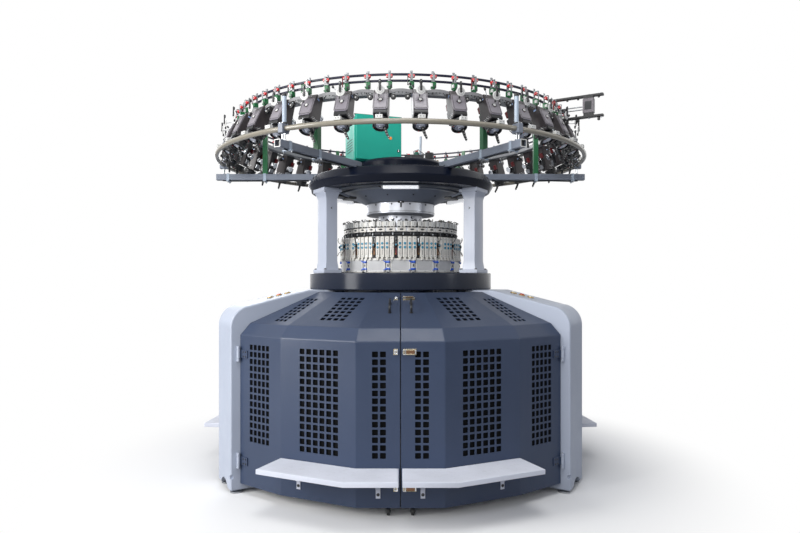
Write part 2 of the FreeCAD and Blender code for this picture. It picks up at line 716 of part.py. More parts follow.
def caster_right():
    """Fork with its kingpin, and the wheel, under the seam edge of the right leaf."""
    y = -(GUARD_REACH - GUARD_SHEET - CASTER_INSET)
    axle_z = FLOOR_GAP + CASTER_WHEEL
    axle_y = y + CASTER_TRAIL
    half = CASTER_WIDTH / 2
    inside = half + CASTER_SIDE_GAP
    outside = inside + CASTER_CHEEK
    top = GUARD_BOTTOM - CASTER_CLEARANCE
    back = axle_y + CASTER_CHEEK_WIDTH / 2
    pieces = [Part.makeBox(2 * outside, CASTER_CROWN_LENGTH, CASTER_CROWN,
                           V(CASTER_X - outside, back - CASTER_CROWN_LENGTH, top - CASTER_CROWN))]
    foot = axle_z - CASTER_CHEEK_WIDTH / 2
    for x in (CASTER_X - outside, CASTER_X + inside):
        pieces.append(Part.makeBox(CASTER_CHEEK, CASTER_CHEEK_WIDTH, top - foot,
                                   V(x, back - CASTER_CHEEK_WIDTH, foot)))
    axle = prism(CASTER_AXLE, SMALL_SIDES, 2 * inside, V(CASTER_X - inside, axle_y, axle_z), V(1, 0, 0))
    fork = joined(pieces + [axle])
    side = V(CASTER_X - half, axle_y, axle_z)
    wheel = prism(CASTER_WHEEL, HIDDEN_SIDES, CASTER_WIDTH, side, V(1, 0, 0))
    bore = prism(CASTER_AXLE + 2 * CASTER_CLEARANCE, SMALL_SIDES, CASTER_WIDTH, side, V(1, 0, 0))
    return fork, wheel.cut(bore)


def slots(angle, reach, width, columns):
    """Upright slots in one side of a rear bay, at distances from the foot of the side's normal."""
    top = HOLE_TOP_ROW + HOLE / 2
    low = HOLE_TOP_ROW - (HOLE_ROWS - 1) * HOLE_PITCH_DOWN - HOLE / 2
    cutters = [block(x - width / 2, x + width / 2, reach - 2 * GUARD_SHEET, reach + GUARD_SHEET, low, top)
               for x in columns]
    return turned(Part.makeCompound(cutters), angle)


def rear_guards():
    """Fixed faceted sheets of the two rear bays, slotted on every side."""
    half_side = GUARD_REACH * math.tan(math.radians(HALF_SIDE))
    corner = END_REACH * math.tan(math.radians(LAST_CORNER - END_SIDE_ANGLE))
    middle = [(column - (HOLE_COLUMNS - 1) / 2) * HOLE_PITCH_ACROSS for column in range(HOLE_COLUMNS)]
    second = [HOLE_FIRST_COLUMN - half_side + column * HOLE_PITCH_ACROSS for column in range(HOLE_COLUMNS)]
    last = [corner + END_SLOT_COLUMN + column * END_SLOT_PITCH for column in range(END_SLOT_COLUMNS)]
    cutters = [slots(0, GUARD_REACH, HOLE, middle)]
    for side in (-1, 1):
        cutters.append(slots(side * SIDE_ANGLE, GUARD_REACH, HOLE, [side * x for x in second]))
        cutters.append(slots(side * END_SIDE_ANGLE, END_REACH, END_SLOT, [side * x for x in last]))
    ends = [(-angle, scale) for angle, scale in HALF_CORNERS[::-1]] + HALF_CORNERS
    whole = guard(ends, 0).cut(cutters)
    return around(whole, REAR_BAY_ANGLES)


# --- bed, columns and crown -----------------------------------------------------------------------

def bed():
    """Round bed: top plate with the bore for the cylinder, and a skirt that stands on the legs."""
    inside = BED_RADIUS - BED_WALL
    under = BED_TOP - BED_PLATE
    return lathe([(BED_RADIUS, BED_BOTTOM), (BED_RADIUS, BED_TOP), (BED_BORE, BED_TOP), (BED_BORE, under),
                  (inside, under), (inside, BED_BOTTOM)], ROUND_SIDES)


def column_section(spread, z):
    """Five-sided section with a shallow ridge facing out, widened on every side by a spread."""
    wide = COLUMN_HALF_WIDTH + spread
    deep = COLUMN_HALF_DEPTH + spread
    points = [(-wide, -deep), (wide, -deep), (wide, deep), (0, deep + COLUMN_RIDGE), (-wide, deep)]
    return [V(x, -(COLUMN_REACH + reach), z) for x, reach in points]


def column():
    """One cast column: flange, waisted shaft with a ridge, and a flared head with its plate."""
    wide = COLUMN_FLANGE_HALF_WIDTH
    deep = COLUMN_FLANGE_HALF_DEPTH
    low = BED_TOP + COLUMN_FLANGE
    high = CROWN_BOTTOM - COLUMN_HEAD_PLATE
    flange = block(-wide, wide, COLUMN_REACH - deep, COLUMN_REACH + deep, BED_TOP, low)
    head = block(-wide, wide, COLUMN_REACH - deep, COLUMN_REACH + deep, high, CROWN_BOTTOM)
    shaft = skin([
        column_section(COLUMN_FOOT_SPREAD, low),
        column_section(0, low + COLUMN_FOOT_RISE),
        column_section(0, high - COLUMN_FLARE),
        column_section(COLUMN_HEAD_SPREAD / 3, high - COLUMN_FLARE / 2),
        column_section(COLUMN_HEAD_SPREAD, high),
    ])
    return joined([flange, shaft, head])


def crown():
    """Round crown plate that widens to a crease and closes in again, with a round boss on its top."""
    top = CROWN_TOP + BOSS_HEIGHT
    return lathe([(0, CROWN_BOTTOM), (CROWN_FOOT_RADIUS, CROWN_BOTTOM), (CROWN_RADIUS, CROWN_CREASE),
                  (CROWN_TOP_RADIUS, CROWN_TOP), (BOSS_RADIUS, CROWN_TOP), (BOSS_RADIUS, top - BOSS_CHAMFER),
                  (BOSS_RADIUS - BOSS_CHAMFER, top), (0, top)], ROUND_SIDES)


def gear_housing():
    """Blunt cone under the crown, over the drum that sets the height of the dial."""
    return lathe([(0, HUB_TOP), (GEAR_HOUSING_BOTTOM_RADIUS, HUB_TOP),
                  (GEAR_HOUSING_TOP_RADIUS, CROWN_BOTTOM), (0, CROWN_BOTTOM)], TURNED_SIDES)


def hub():
    """Height adjuster of the dial: a broad drum on a narrower one, bored from below for the shaft."""
    body = lathe([(0, HUB_BOTTOM), (HUB_LOWER_RADIUS, HUB_BOTTOM), (HUB_LOWER_RADIUS, HUB_STEP),
                  (HUB_RADIUS, HUB_STEP), (HUB_RADIUS, HUB_TOP), (0, HUB_TOP)], TURNED_SIDES)
    bore = prism(SHAFT_RADIUS + SHAFT_CLEARANCE, HIDDEN_SIDES, SHAFT_TOP + SHAFT_CLEARANCE - HUB_BOTTOM,
                 V(0, 0, HUB_BOTTOM))
    return body.cut(bore)


def lamps():
    """Work lamps under the crown, one for each bay."""
    half = LAMP_LENGTH / 2
    bar = block(-half, half, LAMP_REACH, LAMP_REACH + LAMP_DEPTH, CROWN_BOTTOM - LAMP_HEIGHT, CROWN_BOTTOM)
    return group(around(bar, (0, 120, -120)))


# --- knitting head --------------------------------------------------------------------------------

def sector(inner, outer, width_angle, z0, z1, clearance):
    """Block between two radii whose sides follow the machine's radii, less a gap on each side."""
    half = math.radians(width_angle / 2)
    points = []
    for radius in (inner, outer):
        reach = radius * math.cos(half)
        points.append((radius * math.sin(half) - clearance, reach))
    (x0, r0), (x1, r1) = points
    return plan([(-x0, r0), (x0, r0), (x1, r1), (-x1, r1)], z0, z1)


def cam_boxes():
    """Cylinder cam boxes: groups of four narrow boxes round the needle cylinder."""
    group_angle = 360 / CAM_GROUPS
    gap_angle = math.degrees(CAM_GROUP_GAP / CAM_RADIUS)
    pitch = (group_angle - gap_angle) / CAM_PER_GROUP
    box = sector(CYLINDER_RADIUS + 2 * CAM_CLEARANCE, CAM_RADIUS, pitch, CAM_BOTTOM, CAM_TOP, CAM_GAP / 2)
    first = gap_angle / 2 + pitch / 2 - group_angle / 2
    angles = [start + first + pitch * k for start in evenly(CAM_GROUPS, 6) for k in range(CAM_PER_GROUP)]
    return group(around(box, angles))


def base_ring():
    """Ring on the bed that carries the cam boxes."""
    inner = CYLINDER_RADIUS + CAM_CLEARANCE
    return flat_ring(inner, BASE_RING_RADIUS, BED_TOP, CAM_BOTTOM, COVER_COUNT)


def window_covers():
    """Flat cover plates round the base ring, each seated on the ring along its middle."""
    reach = BASE_RING_RADIUS
    half = BASE_RING_RADIUS * math.sin(math.radians(180 / COVER_COUNT)) - COVER_GAP / 2
    cover = block(-half, half, reach, reach + COVER_THICKNESS, BED_TOP + COVER_EDGE,
                  CAM_BOTTOM - COVER_EDGE)
    return group(around(cover, evenly(COVER_COUNT)))


def needle_cylinder():
    inner = CYLINDER_RADIUS - CYLINDER_WALL
    return flat_ring(inner, CYLINDER_RADIUS, GEAR_TOP, CYLINDER_TOP, TURNED_SIDES)


def ring_gear():
    inner = CYLINDER_RADIUS - CYLINDER_WALL
    return flat_ring(inner, GEAR_RADIUS, GEAR_BOTTOM, GEAR_TOP, TURNED_SIDES)


def dial():
    return prism(DIAL_RADIUS, TURNED_SIDES, DIAL_TOP - DIAL_BOTTOM, V(0, 0, DIAL_BOTTOM))


def dial_shaft():
    return prism(SHAFT_RADIUS, HIDDEN_SIDES, SHAFT_TOP - DIAL_TOP, V(0, 0, DIAL_TOP))


def dial_cam_plate():
    """Fixed plate over the dial, hung from the hub and open in the middle for the shaft."""
    bore = SHAFT_RADIUS + 2 * SHAFT_CLEARANCE
    return flat_ring(bore, DIAL_CAM_RADIUS - DIAL_PLATE_INSET, DIAL_PLATE_BOTTOM, HUB_BOTTOM, TURNED_SIDES)


def dial_cam_caps():
    cap = sector(DIAL_CAM_INNER, DIAL_CAM_RADIUS, 360 / DIAL_CAM_COUNT, HUB_BOTTOM, DIAL_CAM_TOP,
                 DIAL_CAM_GAP / 2)
    return group(around(cap, evenly(DIAL_CAM_COUNT, 6)))


# --- take-down and drive ---------------------------------------------------------------------------

ROLLER_PLACES = {
    "nip_roller_front": (-ROLLER_SPACING / 2, ROLLER_LEVEL, ROLLER_RADIUS),
    "nip_roller_rear": (ROLLER_SPACING / 2, ROLLER_LEVEL, ROLLER_RADIUS),
    "cloth_beam": (0, BEAM_LEVEL, BEAM_RADIUS),
}


def takedown_frame():
    """Two side plates hung from the ring gear, tied by a beam, with bores for the roller journals."""
    span = FRAME_HALF_SPAN
    plate = Part.makeBox(FRAME_PLATE, 2 * FRAME_HALF_DEPTH, GEAR_BOTTOM - FRAME_BOTTOM,
                         V(span - FRAME_PLATE, -FRAME_HALF_DEPTH, FRAME_BOTTOM))
    beam = Part.makeBox(2 * (span - FRAME_PLATE), FRAME_BEAM, FRAME_BEAM,
                        V(FRAME_PLATE - span, -FRAME_BEAM / 2, FRAME_BOTTOM))
    bores = [prism(JOURNAL_RADIUS + JOURNAL_CLEARANCE, SMALL_SIDES, 2 * span, V(-span, y, z), V(1, 0, 0))
             for y, z, radius in ROLLER_PLACES.values()]
    return joined([plate, mirrored(plate), beam]).cut(bores)


def roller(y, z, radius):
    """Roller with a journal at each end."""
    inside = FRAME_HALF_SPAN - FRAME_PLATE - ROLLER_END_GAP
    barrel = prism(radius, HIDDEN_SIDES, 2 * inside, V(-inside, y, z), V(1, 0, 0))
    journal = prism(JOURNAL_RADIUS, SMALL_SIDES, 2 * FRAME_HALF_SPAN, V(-FRAME_HALF_SPAN, y, z), V(1, 0, 0))
    return joined([barrel, journal])


def pinion_centre(z):
    return at(GEAR_RADIUS + PINION_RADIUS + TOOTH_ROOM, PINION_ANGLE, z)


def drive_shaft():
    """Upright shaft that stands in the motor and has the pinion beside the ring gear."""
    foot = MOTOR_TOP - DRIVE_SHAFT_SEAT + DRIVE_SHAFT_CLEARANCE
    shaft = prism(DRIVE_SHAFT_RADIUS, SMALL_SIDES, GEAR_TOP - foot, pinion_centre(foot))
    pinion = prism(PINION_RADIUS, HIDDEN_SIDES, GEAR_TOP - GEAR_BOTTOM, pinion_centre(GEAR_BOTTOM))
    return joined([shaft, pinion])


def drive_motor():
    """Geared motor under the drive shaft, on a plate from the inner side of the rear leg."""
    centre = pinion_centre(MOTOR_BOTTOM)
    body = prism(MOTOR_RADIUS, HIDDEN_SIDES, MOTOR_TOP - MOTOR_BOTTOM, centre)
    half = MOTOR_PLATE_WIDTH / 2
    edge = LEG_WIDTH / 2
    level = LEG_KNEE - MOTOR_PLATE_DROP
    plate = plan([(edge - MOTOR_PLATE_WIDTH, -LEG_INNER), (edge, -LEG_INNER), (centre.x + half, -centre.y),
                  (centre.x - half, -centre.y)], level - MOTOR_PLATE, level)
    socket = prism(DRIVE_SHAFT_RADIUS + 2 * DRIVE_SHAFT_CLEARANCE, SMALL_SIDES, DRIVE_SHAFT_SEAT,
                   pinion_centre(MOTOR_TOP - DRIVE_SHAFT_SEAT))
    return joined([body, plate]).cut(socket)


# --- arms and rings -------------------------------------------------------------------------------

ARM_TOP = CROWN_TOP + ARM_WIDTH
CARRIER_TOP = CARRIER_BOTTOM + CARRIER_THICKNESS
CLAMP_TOP = TUBE_LEVEL + TUBE_RADIUS + CLAMP_MARGIN
CLAMP_BOTTOM = TUBE_LEVEL - TUBE_RADIUS - CLAMP_MARGIN


def arm():
    """Square tube that lies on the crown and reaches out to the rings."""
    half = ARM_WIDTH / 2
    inside = half - ARM_WALL
    bar = block(-half, half, ARM_INNER, ARM_REACH, CROWN_TOP, ARM_TOP)
    bore = block(-inside, inside, ARM_INNER, ARM_REACH, CROWN_TOP + ARM_WALL, ARM_TOP - ARM_WALL)
    return bar.cut(bore)


def clamp():
    """Block on a stud over the end of an arm, which holds the tube ring and the outer post."""
    deep = CLAMP_HALF_DEPTH
    stud = CLAMP_STUD
    outline = [(-deep, CLAMP_BOTTOM), (-stud, CLAMP_BOTTOM), (-stud, ARM_TOP), (stud, ARM_TOP),
               (stud, CLAMP_BOTTOM), (deep, CLAMP_BOTTOM), (deep, CLAMP_TOP), (-deep, CLAMP_TOP)]
    return side_profile([(TUBE_REACH + reach, z) for reach, z in outline], CLAMP_WIDTH)


def tube_ring():
    """Six bent tubes that end in the clamps; the section has six flats."""
    corner = TUBE_RADIUS / math.cos(math.pi / TUBE_SIDES)
    steps = [2 * math.pi * (k + 0.5) / TUBE_SIDES for k in range(TUBE_SIDES)]
    section = [(TUBE_REACH + corner * math.cos(t), TUBE_LEVEL + corner * math.sin(t)) for t in steps]
    return group([lathe(section, ROUND_SIDES).cut(around(clamp(), ARM_ANGLES))])


def outer_post():
    """Clamp block with the light post that stands on it."""
    foot = V(0, OUTER_POST_INSET - TUBE_REACH, CLAMP_TOP)
    post = prism(OUTER_POST / 2, SMALL_SIDES, OUTER_POST_TOP - CLAMP_TOP, foot)
    return joined([clamp(), post])


def inner_post():
    """Post with an angle welded on it, which carries the feeder ring and rises behind the two rails."""
    half = INNER_POST / 2
    post = block(-half, half, INNER_POST_REACH - half, INNER_POST_REACH + half, ARM_TOP, CARRIER_TOP)
    corner = math.radians(180 / STOPS)
    inside = (RAIL_REACH - RAIL_SECTION) / math.cos(corner) - BRACKET_WIDTH / 2 * math.tan(corner)
    low = CARRIER_TOP
    high = CARRIER_TOP + BRACKET_THICKNESS
    start = INNER_POST_REACH - INNER_POST / 2
    top = RAIL_LEVELS[-1] + RAIL_SECTION / 2
    angle = side_profile([(start, low), (inside, low), (inside, top), (inside - BRACKET_THICKNESS, top),
                          (inside - BRACKET_THICKNESS, high), (start, high)], BRACKET_WIDTH)
    return joined([post, angle])


def sensor_rails():
    """Two rails of straight lengths, with the middle of each length behind a stop motion."""
    half = RAIL_SECTION / 2
    rails = [flat_ring(RAIL_REACH - RAIL_SECTION, RAIL_REACH, z - half, z + half, STOPS)
             for z in RAIL_LEVELS]
    return group(around(Part.makeCompound(rails), (180 / STOPS,)))


# --- yarn feeders and stop motions ----------------------------------------------------------------

FEEDER_DOWN = V(0, FEEDER_TOP_REACH - FEEDER_FACE_REACH, FEEDER_FACE_BOTTOM - FEEDER_TOP).normalize()
FEEDER_BACK = V(0, -FEEDER_DOWN.z, FEEDER_DOWN.y)


def on_foot(inset):
    """Point of a feeder's foot, which is square to the leaning face, at a distance behind its lower edge."""
    return V(0, -FEEDER_FACE_REACH, FEEDER_FACE_BOTTOM) + FEEDER_BACK * inset


def feeder():
    """Housing that leans in towards its top, hung on the outer edge of the carrier ring."""
    heel = on_foot(FEEDER_FOOT_DEPTH)
    return side_profile([
        (FEEDER_FACE_REACH, FEEDER_FACE_BOTTOM),
        (FEEDER_TOP_REACH, FEEDER_TOP),
        (CARRIER_OUTER, FEEDER_TOP),
        (CARRIER_OUTER, CARRIER_BOTTOM),
        (-heel.y, heel.z),
    ], FEEDER_WIDTH)


def feeder_wheel():
    """Yarn wheel on the foot of a housing, on an axis that leans as the housing does."""
    return prism(WHEEL_RADIUS, SMALL_SIDES, WHEEL_HEIGHT, on_foot(WHEEL_INSET), FEEDER_DOWN)


def stop_motion():
    """Body hung on the lower rail, with the narrow plate that rises in front of both rails."""
    half = STOP_BODY_WIDTH / 2
    body = block(-half, half, RAIL_REACH, RAIL_REACH + 2 * STOP_DEPTH, STOP_BODY_BOTTOM, STOP_BODY_TOP)
    half = STOP_WIDTH / 2
    plate = block(-half, half, RAIL_REACH, RAIL_REACH + STOP_DEPTH, STOP_BODY_TOP, STOP_TOP)
    return body, plate


def stop_lamp():
    half = STOP_LAMP_WIDTH / 2
    middle = sum(RAIL_LEVELS) / 2
    return block(-half, half, RAIL_REACH + STOP_DEPTH, RAIL_REACH + 2 * STOP_DEPTH,
                 middle - STOP_LAMP_HEIGHT / 2, middle + STOP_LAMP_HEIGHT / 2)


# --- cabinet and tension device -------------------------------------------------------------------

CABINET_FOOT = CROWN_TOP + BOSS_HEIGHT


def placed_cabinet(shape):
    shape.rotate(CENTRE, UP, CABINET_TURN)
    shape.translate(V(CABINET_X, 0, 0))
    return shape


def cabinet():
    half = CABINET_WIDTH / 2
    deep = CABINET_DEPTH / 2
    return placed_cabinet(block(-half, half, -deep, deep, CABINET_FOOT, CABINET_FOOT + CABINET_HEIGHT))


def cabinet_door():
    """Door of the cabinet, hinged along the upright edge nearer to the left side."""
    half = CABINET_WIDTH / 2 - CABINET_DOOR_MARGIN
    back = CABINET_DEPTH / 2 + CABINET_DOOR_GAP
    return placed_cabinet(block(-half, half, back, back + CABINET_DOOR, CABINET_FOOT + CABINET_DOOR_MARGIN,
                                CABINET_FOOT + CABINET_HEIGHT - CABINET_DOOR_MARGIN))


def tensioner():
    """Two flat bars, under the carrier ring and on the upper rail, tied by a block near their ends."""
    half = TENSIONER_BAR_WIDTH / 2
    low = CARRIER_BOTTOM
    high = RAIL_LEVELS[-1] + RAIL_SECTION / 2
    lower = block(-half, half, CARRIER_INNER, TENSIONER_OUTER, low - TENSIONER_BAR, low)
    upper = block(-half, half, RAIL_REACH - RAIL_SECTION, TENSIONER_OUTER, high, high + TENSIONER_BAR)
    start = TENSIONER_OUTER - 2 * TENSIONER_BLOCK
    tie = block(-half, half, start, start + TENSIONER_BLOCK, low, high)
    return turned(joined([lower, upper, tie]), TENSIONER_ANGLE)


# --- all nodes ------------------------------------------------------------------------------------

def nodes():
    """Every node of the machine, by name."""
    parts = {}
    parts["legs"] = legs()
    parts["levelling_feet"] = feet()
    parts["rear_guards"] = group(rear_guards())
    step = step_right()
    pair = [step, mirrored(step)]
    parts["rear_steps"] = group([turned(shape, angle) for angle in REAR_BAY_ANGLES for shape in pair])
    parts["bed_plate"] = bed()
    parts["columns"] = group(around(column(), LEG_ANGLES))
    parts["crown_plate"] = crown()
    parts["gear_housing"] = gear_housing()
    parts["dial_height_adjuster"] = hub()
    parts["work_lamps"] = lamps()
    parts["dial_cam_plate"] = dial_cam_plate()
    parts["dial_cam_caps"] = dial_cam_caps()
    parts["cam_boxes"] = cam_boxes()
    parts["base_ring"] = base_ring()
    parts["window_covers"] = window_covers()
    parts["drive_motor"] = drive_motor()
    parts["radial_arms"] = group(around(arm(), ARM_ANGLES))
    parts["tube_ring"] = tube_ring()
    parts["outer_posts"] = group(around(outer_post(), ARM_ANGLES))
    parts["inner_posts"] = group(around(inner_post(), ARM_ANGLES))
    carrier = flat_ring(CARRIER_INNER, CARRIER_OUTER, CARRIER_BOTTOM, CARRIER_TOP, FEEDERS)
    parts["carrier_ring"] = turned(carrier, 180 / FEEDERS)
    parts["sensor_rails"] = sensor_rails()
    parts["yarn_feeders"] = group(around(feeder(), evenly(FEEDERS, 180 / FEEDERS)))
    parts["feeder_wheels"] = group(around(feeder_wheel(), evenly(FEEDERS, 180 / FEEDERS)))
    stops = evenly(STOPS, 180 / STOPS)
    body, plate = stop_motion()
    parts["stop_motion_bodies"] = group(around(body, stops))
    parts["stop_motion_brackets"] = group(around(plate, stops))
    parts["stop_motion_lamps"] = group(around(stop_lamp(), stops))
    parts["belt_tensioner"] = tensioner()
    parts["control_cabinet"] = cabinet()
    parts["cabinet_door"] = cabinet_door()
    parts["needle_cylinder"] = needle_cylinder()
    parts["ring_gear"] = ring_gear()
    parts["takedown_frame"] = takedown_frame()
    for name, place in ROLLER_PLACES.items():
        parts[name] = roller(*place)
    parts["dial"] = dial()
    parts["dial_shaft"] = dial_shaft()
    parts["drive_shaft"] = drive_shaft()
    door = door_right()
    fork, wheel = caster_right()
    handle = handle_right()
    for side, shapes in (("right", (door, step, handle, fork, wheel)),
                         ("left", [mirrored(shape) for shape in (door, step, handle, fork, wheel)])):
        for kind, shape in zip(("door", "door_step", "door_handle", "caster_fork", "caster_wheel"), shapes):
            parts[f"{kind}_{side}"] = shape
    bases, keepers, levers = latches()
    parts["latch_bases"] = bases
    parts["latch_keepers"] = keepers
    for name, lever in zip(("lower", "middle", "upper"), levers):
        parts[f"latch_{name}"] = lever
    parts.update(buttons())
    return parts


os.makedirs("parts", exist_ok=True)
for node, shape in nodes().items():
    shape.exportStep(f"parts/{node}.step")
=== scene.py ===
import json
import math

import bmesh
import bpy
import numpy as np
from mathutils import Matrix, Vector
from mathutils.geometry import delaunay_2d_cdt

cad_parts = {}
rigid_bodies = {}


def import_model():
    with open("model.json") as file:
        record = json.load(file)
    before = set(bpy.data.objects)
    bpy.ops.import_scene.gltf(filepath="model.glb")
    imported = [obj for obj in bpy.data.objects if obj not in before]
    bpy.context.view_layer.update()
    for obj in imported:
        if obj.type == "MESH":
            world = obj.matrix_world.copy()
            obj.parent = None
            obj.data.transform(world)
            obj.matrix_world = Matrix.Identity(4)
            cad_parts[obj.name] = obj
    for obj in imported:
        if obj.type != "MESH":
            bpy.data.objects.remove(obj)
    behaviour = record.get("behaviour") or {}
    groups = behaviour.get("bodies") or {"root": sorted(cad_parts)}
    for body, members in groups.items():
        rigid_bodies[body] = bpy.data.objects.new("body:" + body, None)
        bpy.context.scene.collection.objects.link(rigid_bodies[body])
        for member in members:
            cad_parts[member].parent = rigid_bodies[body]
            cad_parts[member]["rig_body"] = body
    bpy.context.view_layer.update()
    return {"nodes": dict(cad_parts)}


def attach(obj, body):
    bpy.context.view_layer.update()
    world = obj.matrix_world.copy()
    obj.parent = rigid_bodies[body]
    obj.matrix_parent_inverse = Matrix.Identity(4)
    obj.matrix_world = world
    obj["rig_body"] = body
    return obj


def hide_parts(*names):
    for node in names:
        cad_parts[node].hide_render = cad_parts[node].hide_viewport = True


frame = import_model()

MM = 0.001
SMALL = 1e-6


# ---------------------------------------------------------------------------------------------
# Materials
# ---------------------------------------------------------------------------------------------

def linear(code):
    """Linear colour from a hexadecimal sRGB code."""
    values = [int(code[i:i + 2], 16) / 255 for i in (1, 3, 5)]
    return tuple(v / 12.92 if v <= 0.04045 else ((v + 0.055) / 1.055) ** 2.4 for v in values)


def shaded(colour, factor):
    return tuple(min(1.0, v * factor) for v in colour)


class Nodes:
    """Small helper around one material's node tree."""

    def __init__(self, name):
        self.material = bpy.data.materials.new(name)
        self.material.use_nodes = True
        self.tree = self.material.node_tree
        self.shader = self.tree.nodes["Principled BSDF"]
        self.place = self.add("TexCoord").outputs["Object"]

    def put(self, node, values):
        """Values or links for some of a node's inputs."""
        for name, value in values.items():
            if isinstance(value, bpy.types.NodeSocket):
                self.tree.links.new(value, node.inputs[name])
            else:
                node.inputs[name].default_value = value
        return node

    def add(self, kind, values=None, **settings):
        node = self.tree.nodes.new("ShaderNode" + kind)
        for key, value in settings.items():
            setattr(node, key, value)
        return self.put(node, values or {})

    def noise(self, scale, detail=3.0, stretch=None, rough=0.5):
        source = self.place
        if stretch:
            source = self.add("Mapping", {"Vector": source, "Scale": stretch}).outputs["Vector"]
        values = {"Vector": source, "Scale": scale, "Detail": detail, "Roughness": rough}
        return self.add("TexNoise", values).outputs["Fac"]

    def ramp(self, factor, low, high, start=0.3):
        """Two colours, with the turn between them from start to the same distance from 1."""
        node = self.add("ValToRGB", {"Fac": factor})
        for element, position, colour in zip(node.color_ramp.elements, (start, 1 - start), (low, high)):
            element.position = position
            element.color = (*colour, 1.0)
        return node.outputs["Color"]

    def mix(self, factor, base, colour):
        node = self.add("Mix", data_type="RGBA")
        sockets = {s.name: s for s in node.inputs if s.enabled}
        self.tree.links.new(factor, sockets["Factor"])
        self.tree.links.new(base, sockets["A"])
        sockets["B"].default_value = (*colour, 1.0)
        return next(s for s in node.outputs if s.enabled)

    def spread(self, factor, low, high, start=0.3, end=0.7):
        values = {"Value": factor, "From Min": start, "From Max": end, "To Min": low, "To Max": high}
        return self.add("MapRange", values).outputs["Result"]

    def bump(self, height, strength, distance):
        values = {"Strength": strength, "Distance": distance, "Height": height}
        return self.add("Bump", values).outputs["Normal"]


def paint(name, code, rough, metallic=0.0, coat=0.0, vary=0.06, grain=900.0, bump=0.12, dirt=0.12, dust=0.0,
          specular=0.5):
    """Painted or moulded surface: broad tone changes, fine orange-peel bump, patchy gloss, a little grime."""
    n = Nodes(name)
    colour = linear(code)
    tone = n.ramp(n.noise(2.2, 4.0), shaded(colour, 1 - vary), shaded(colour, 1 + vary), 0.25)
    grime = n.spread(n.noise(55.0, 6.0, rough=0.75), 0.0, dirt, 0.55, 0.85)
    tone = n.mix(grime, tone, shaded(colour, 0.45))
    if dust:
        split = n.add("SeparateXYZ", {0: n.add("NewGeometry").outputs["Normal"]})
        tone = n.mix(n.spread(split.outputs["Z"], 0.0, dust, 0.35, 1.0), tone, linear("#B9B6AE"))
    n.put(n.shader, {
        "Base Color": tone,
        "Roughness": n.spread(n.noise(9.0, 5.0, rough=0.65), rough * 0.82, min(1.0, rough * 1.2)),
        "Normal": n.bump(n.noise(grain, 2.0), bump, 0.0006),
        "Metallic": metallic, "Coat Weight": coat, "Coat Roughness": 0.08, "Specular IOR Level": specular})
    return n.material


def metal(name, code, rough, brush=(1, 1, 1), vary=0.1, stain=0.25):
    """Bare or plated metal with a brushed or turned grain, faint stains and uneven polish."""
    n = Nodes(name)
    colour = linear(code)
    tone = n.ramp(n.noise(4.0, 4.0), shaded(colour, 1 - vary), shaded(colour, 1 + vary), 0.25)
    spots = n.spread(n.noise(38.0, 6.0, rough=0.7), 0.0, stain, 0.58, 0.82)
    tone = n.mix(spots, tone, shaded(colour, 0.5))
    grain = n.noise(420.0, 3.0, brush)
    n.put(n.shader, {"Base Color": tone, "Roughness": n.spread(grain, rough * 0.75, rough * 1.3),
                     "Normal": n.bump(grain, 0.08, 0.0005), "Metallic": 1.0})
    return n.material


def checker_plate(name, code, rough):
    """White enamel with a fine raised tread, on the top of a step."""
    n = Nodes(name)
    colour = linear(code)
    tone = n.ramp(n.noise(5.0, 5.0), shaded(colour, 0.93), shaded(colour, 1.04))
    cells = n.add("TexVoronoi", {"Scale": 170.0, "Vector": n.place})
    pits = n.spread(cells.outputs["Distance"], 0.0, 1.0, 0.1, 0.6)
    scuffs = n.spread(n.noise(30.0, 6.0, rough=0.8), 0.0, 0.35, 0.55, 0.8)
    n.put(n.shader, {"Base Color": n.mix(scuffs, tone, linear("#8E8C88")),
                     "Roughness": n.spread(pits, 0.45, rough, 0.0, 1.0), "Normal": n.bump(pits, 0.35, 0.0012)})
    return n.material


def clear(name, code, rough):
    """Clear moulded cover, slightly smoky."""
    n = Nodes(name)
    n.put(n.shader, {"Base Color": n.ramp(n.noise(20.0), linear(code), shaded(linear(code), 0.9)),
                     "Roughness": n.spread(n.noise(90.0, 4.0), rough, rough * 2.2),
                     "Normal": n.bump(n.noise(300.0), 0.05, 0.0004), "Transmission Weight": 0.25, "IOR": 1.45})
    return n.material


def glowing(name, code, strength):
    """Lit lens or diffuser of a lamp."""
    n = Nodes(name)
    tone = n.ramp(n.noise(60.0, 2.0), linear(code), shaded(linear(code), 0.92))
    n.put(n.shader, {"Base Color": tone, "Emission Color": tone, "Emission Strength": strength,
                     "Roughness": n.spread(n.noise(40.0), 0.2, 0.35)})
    return n.material


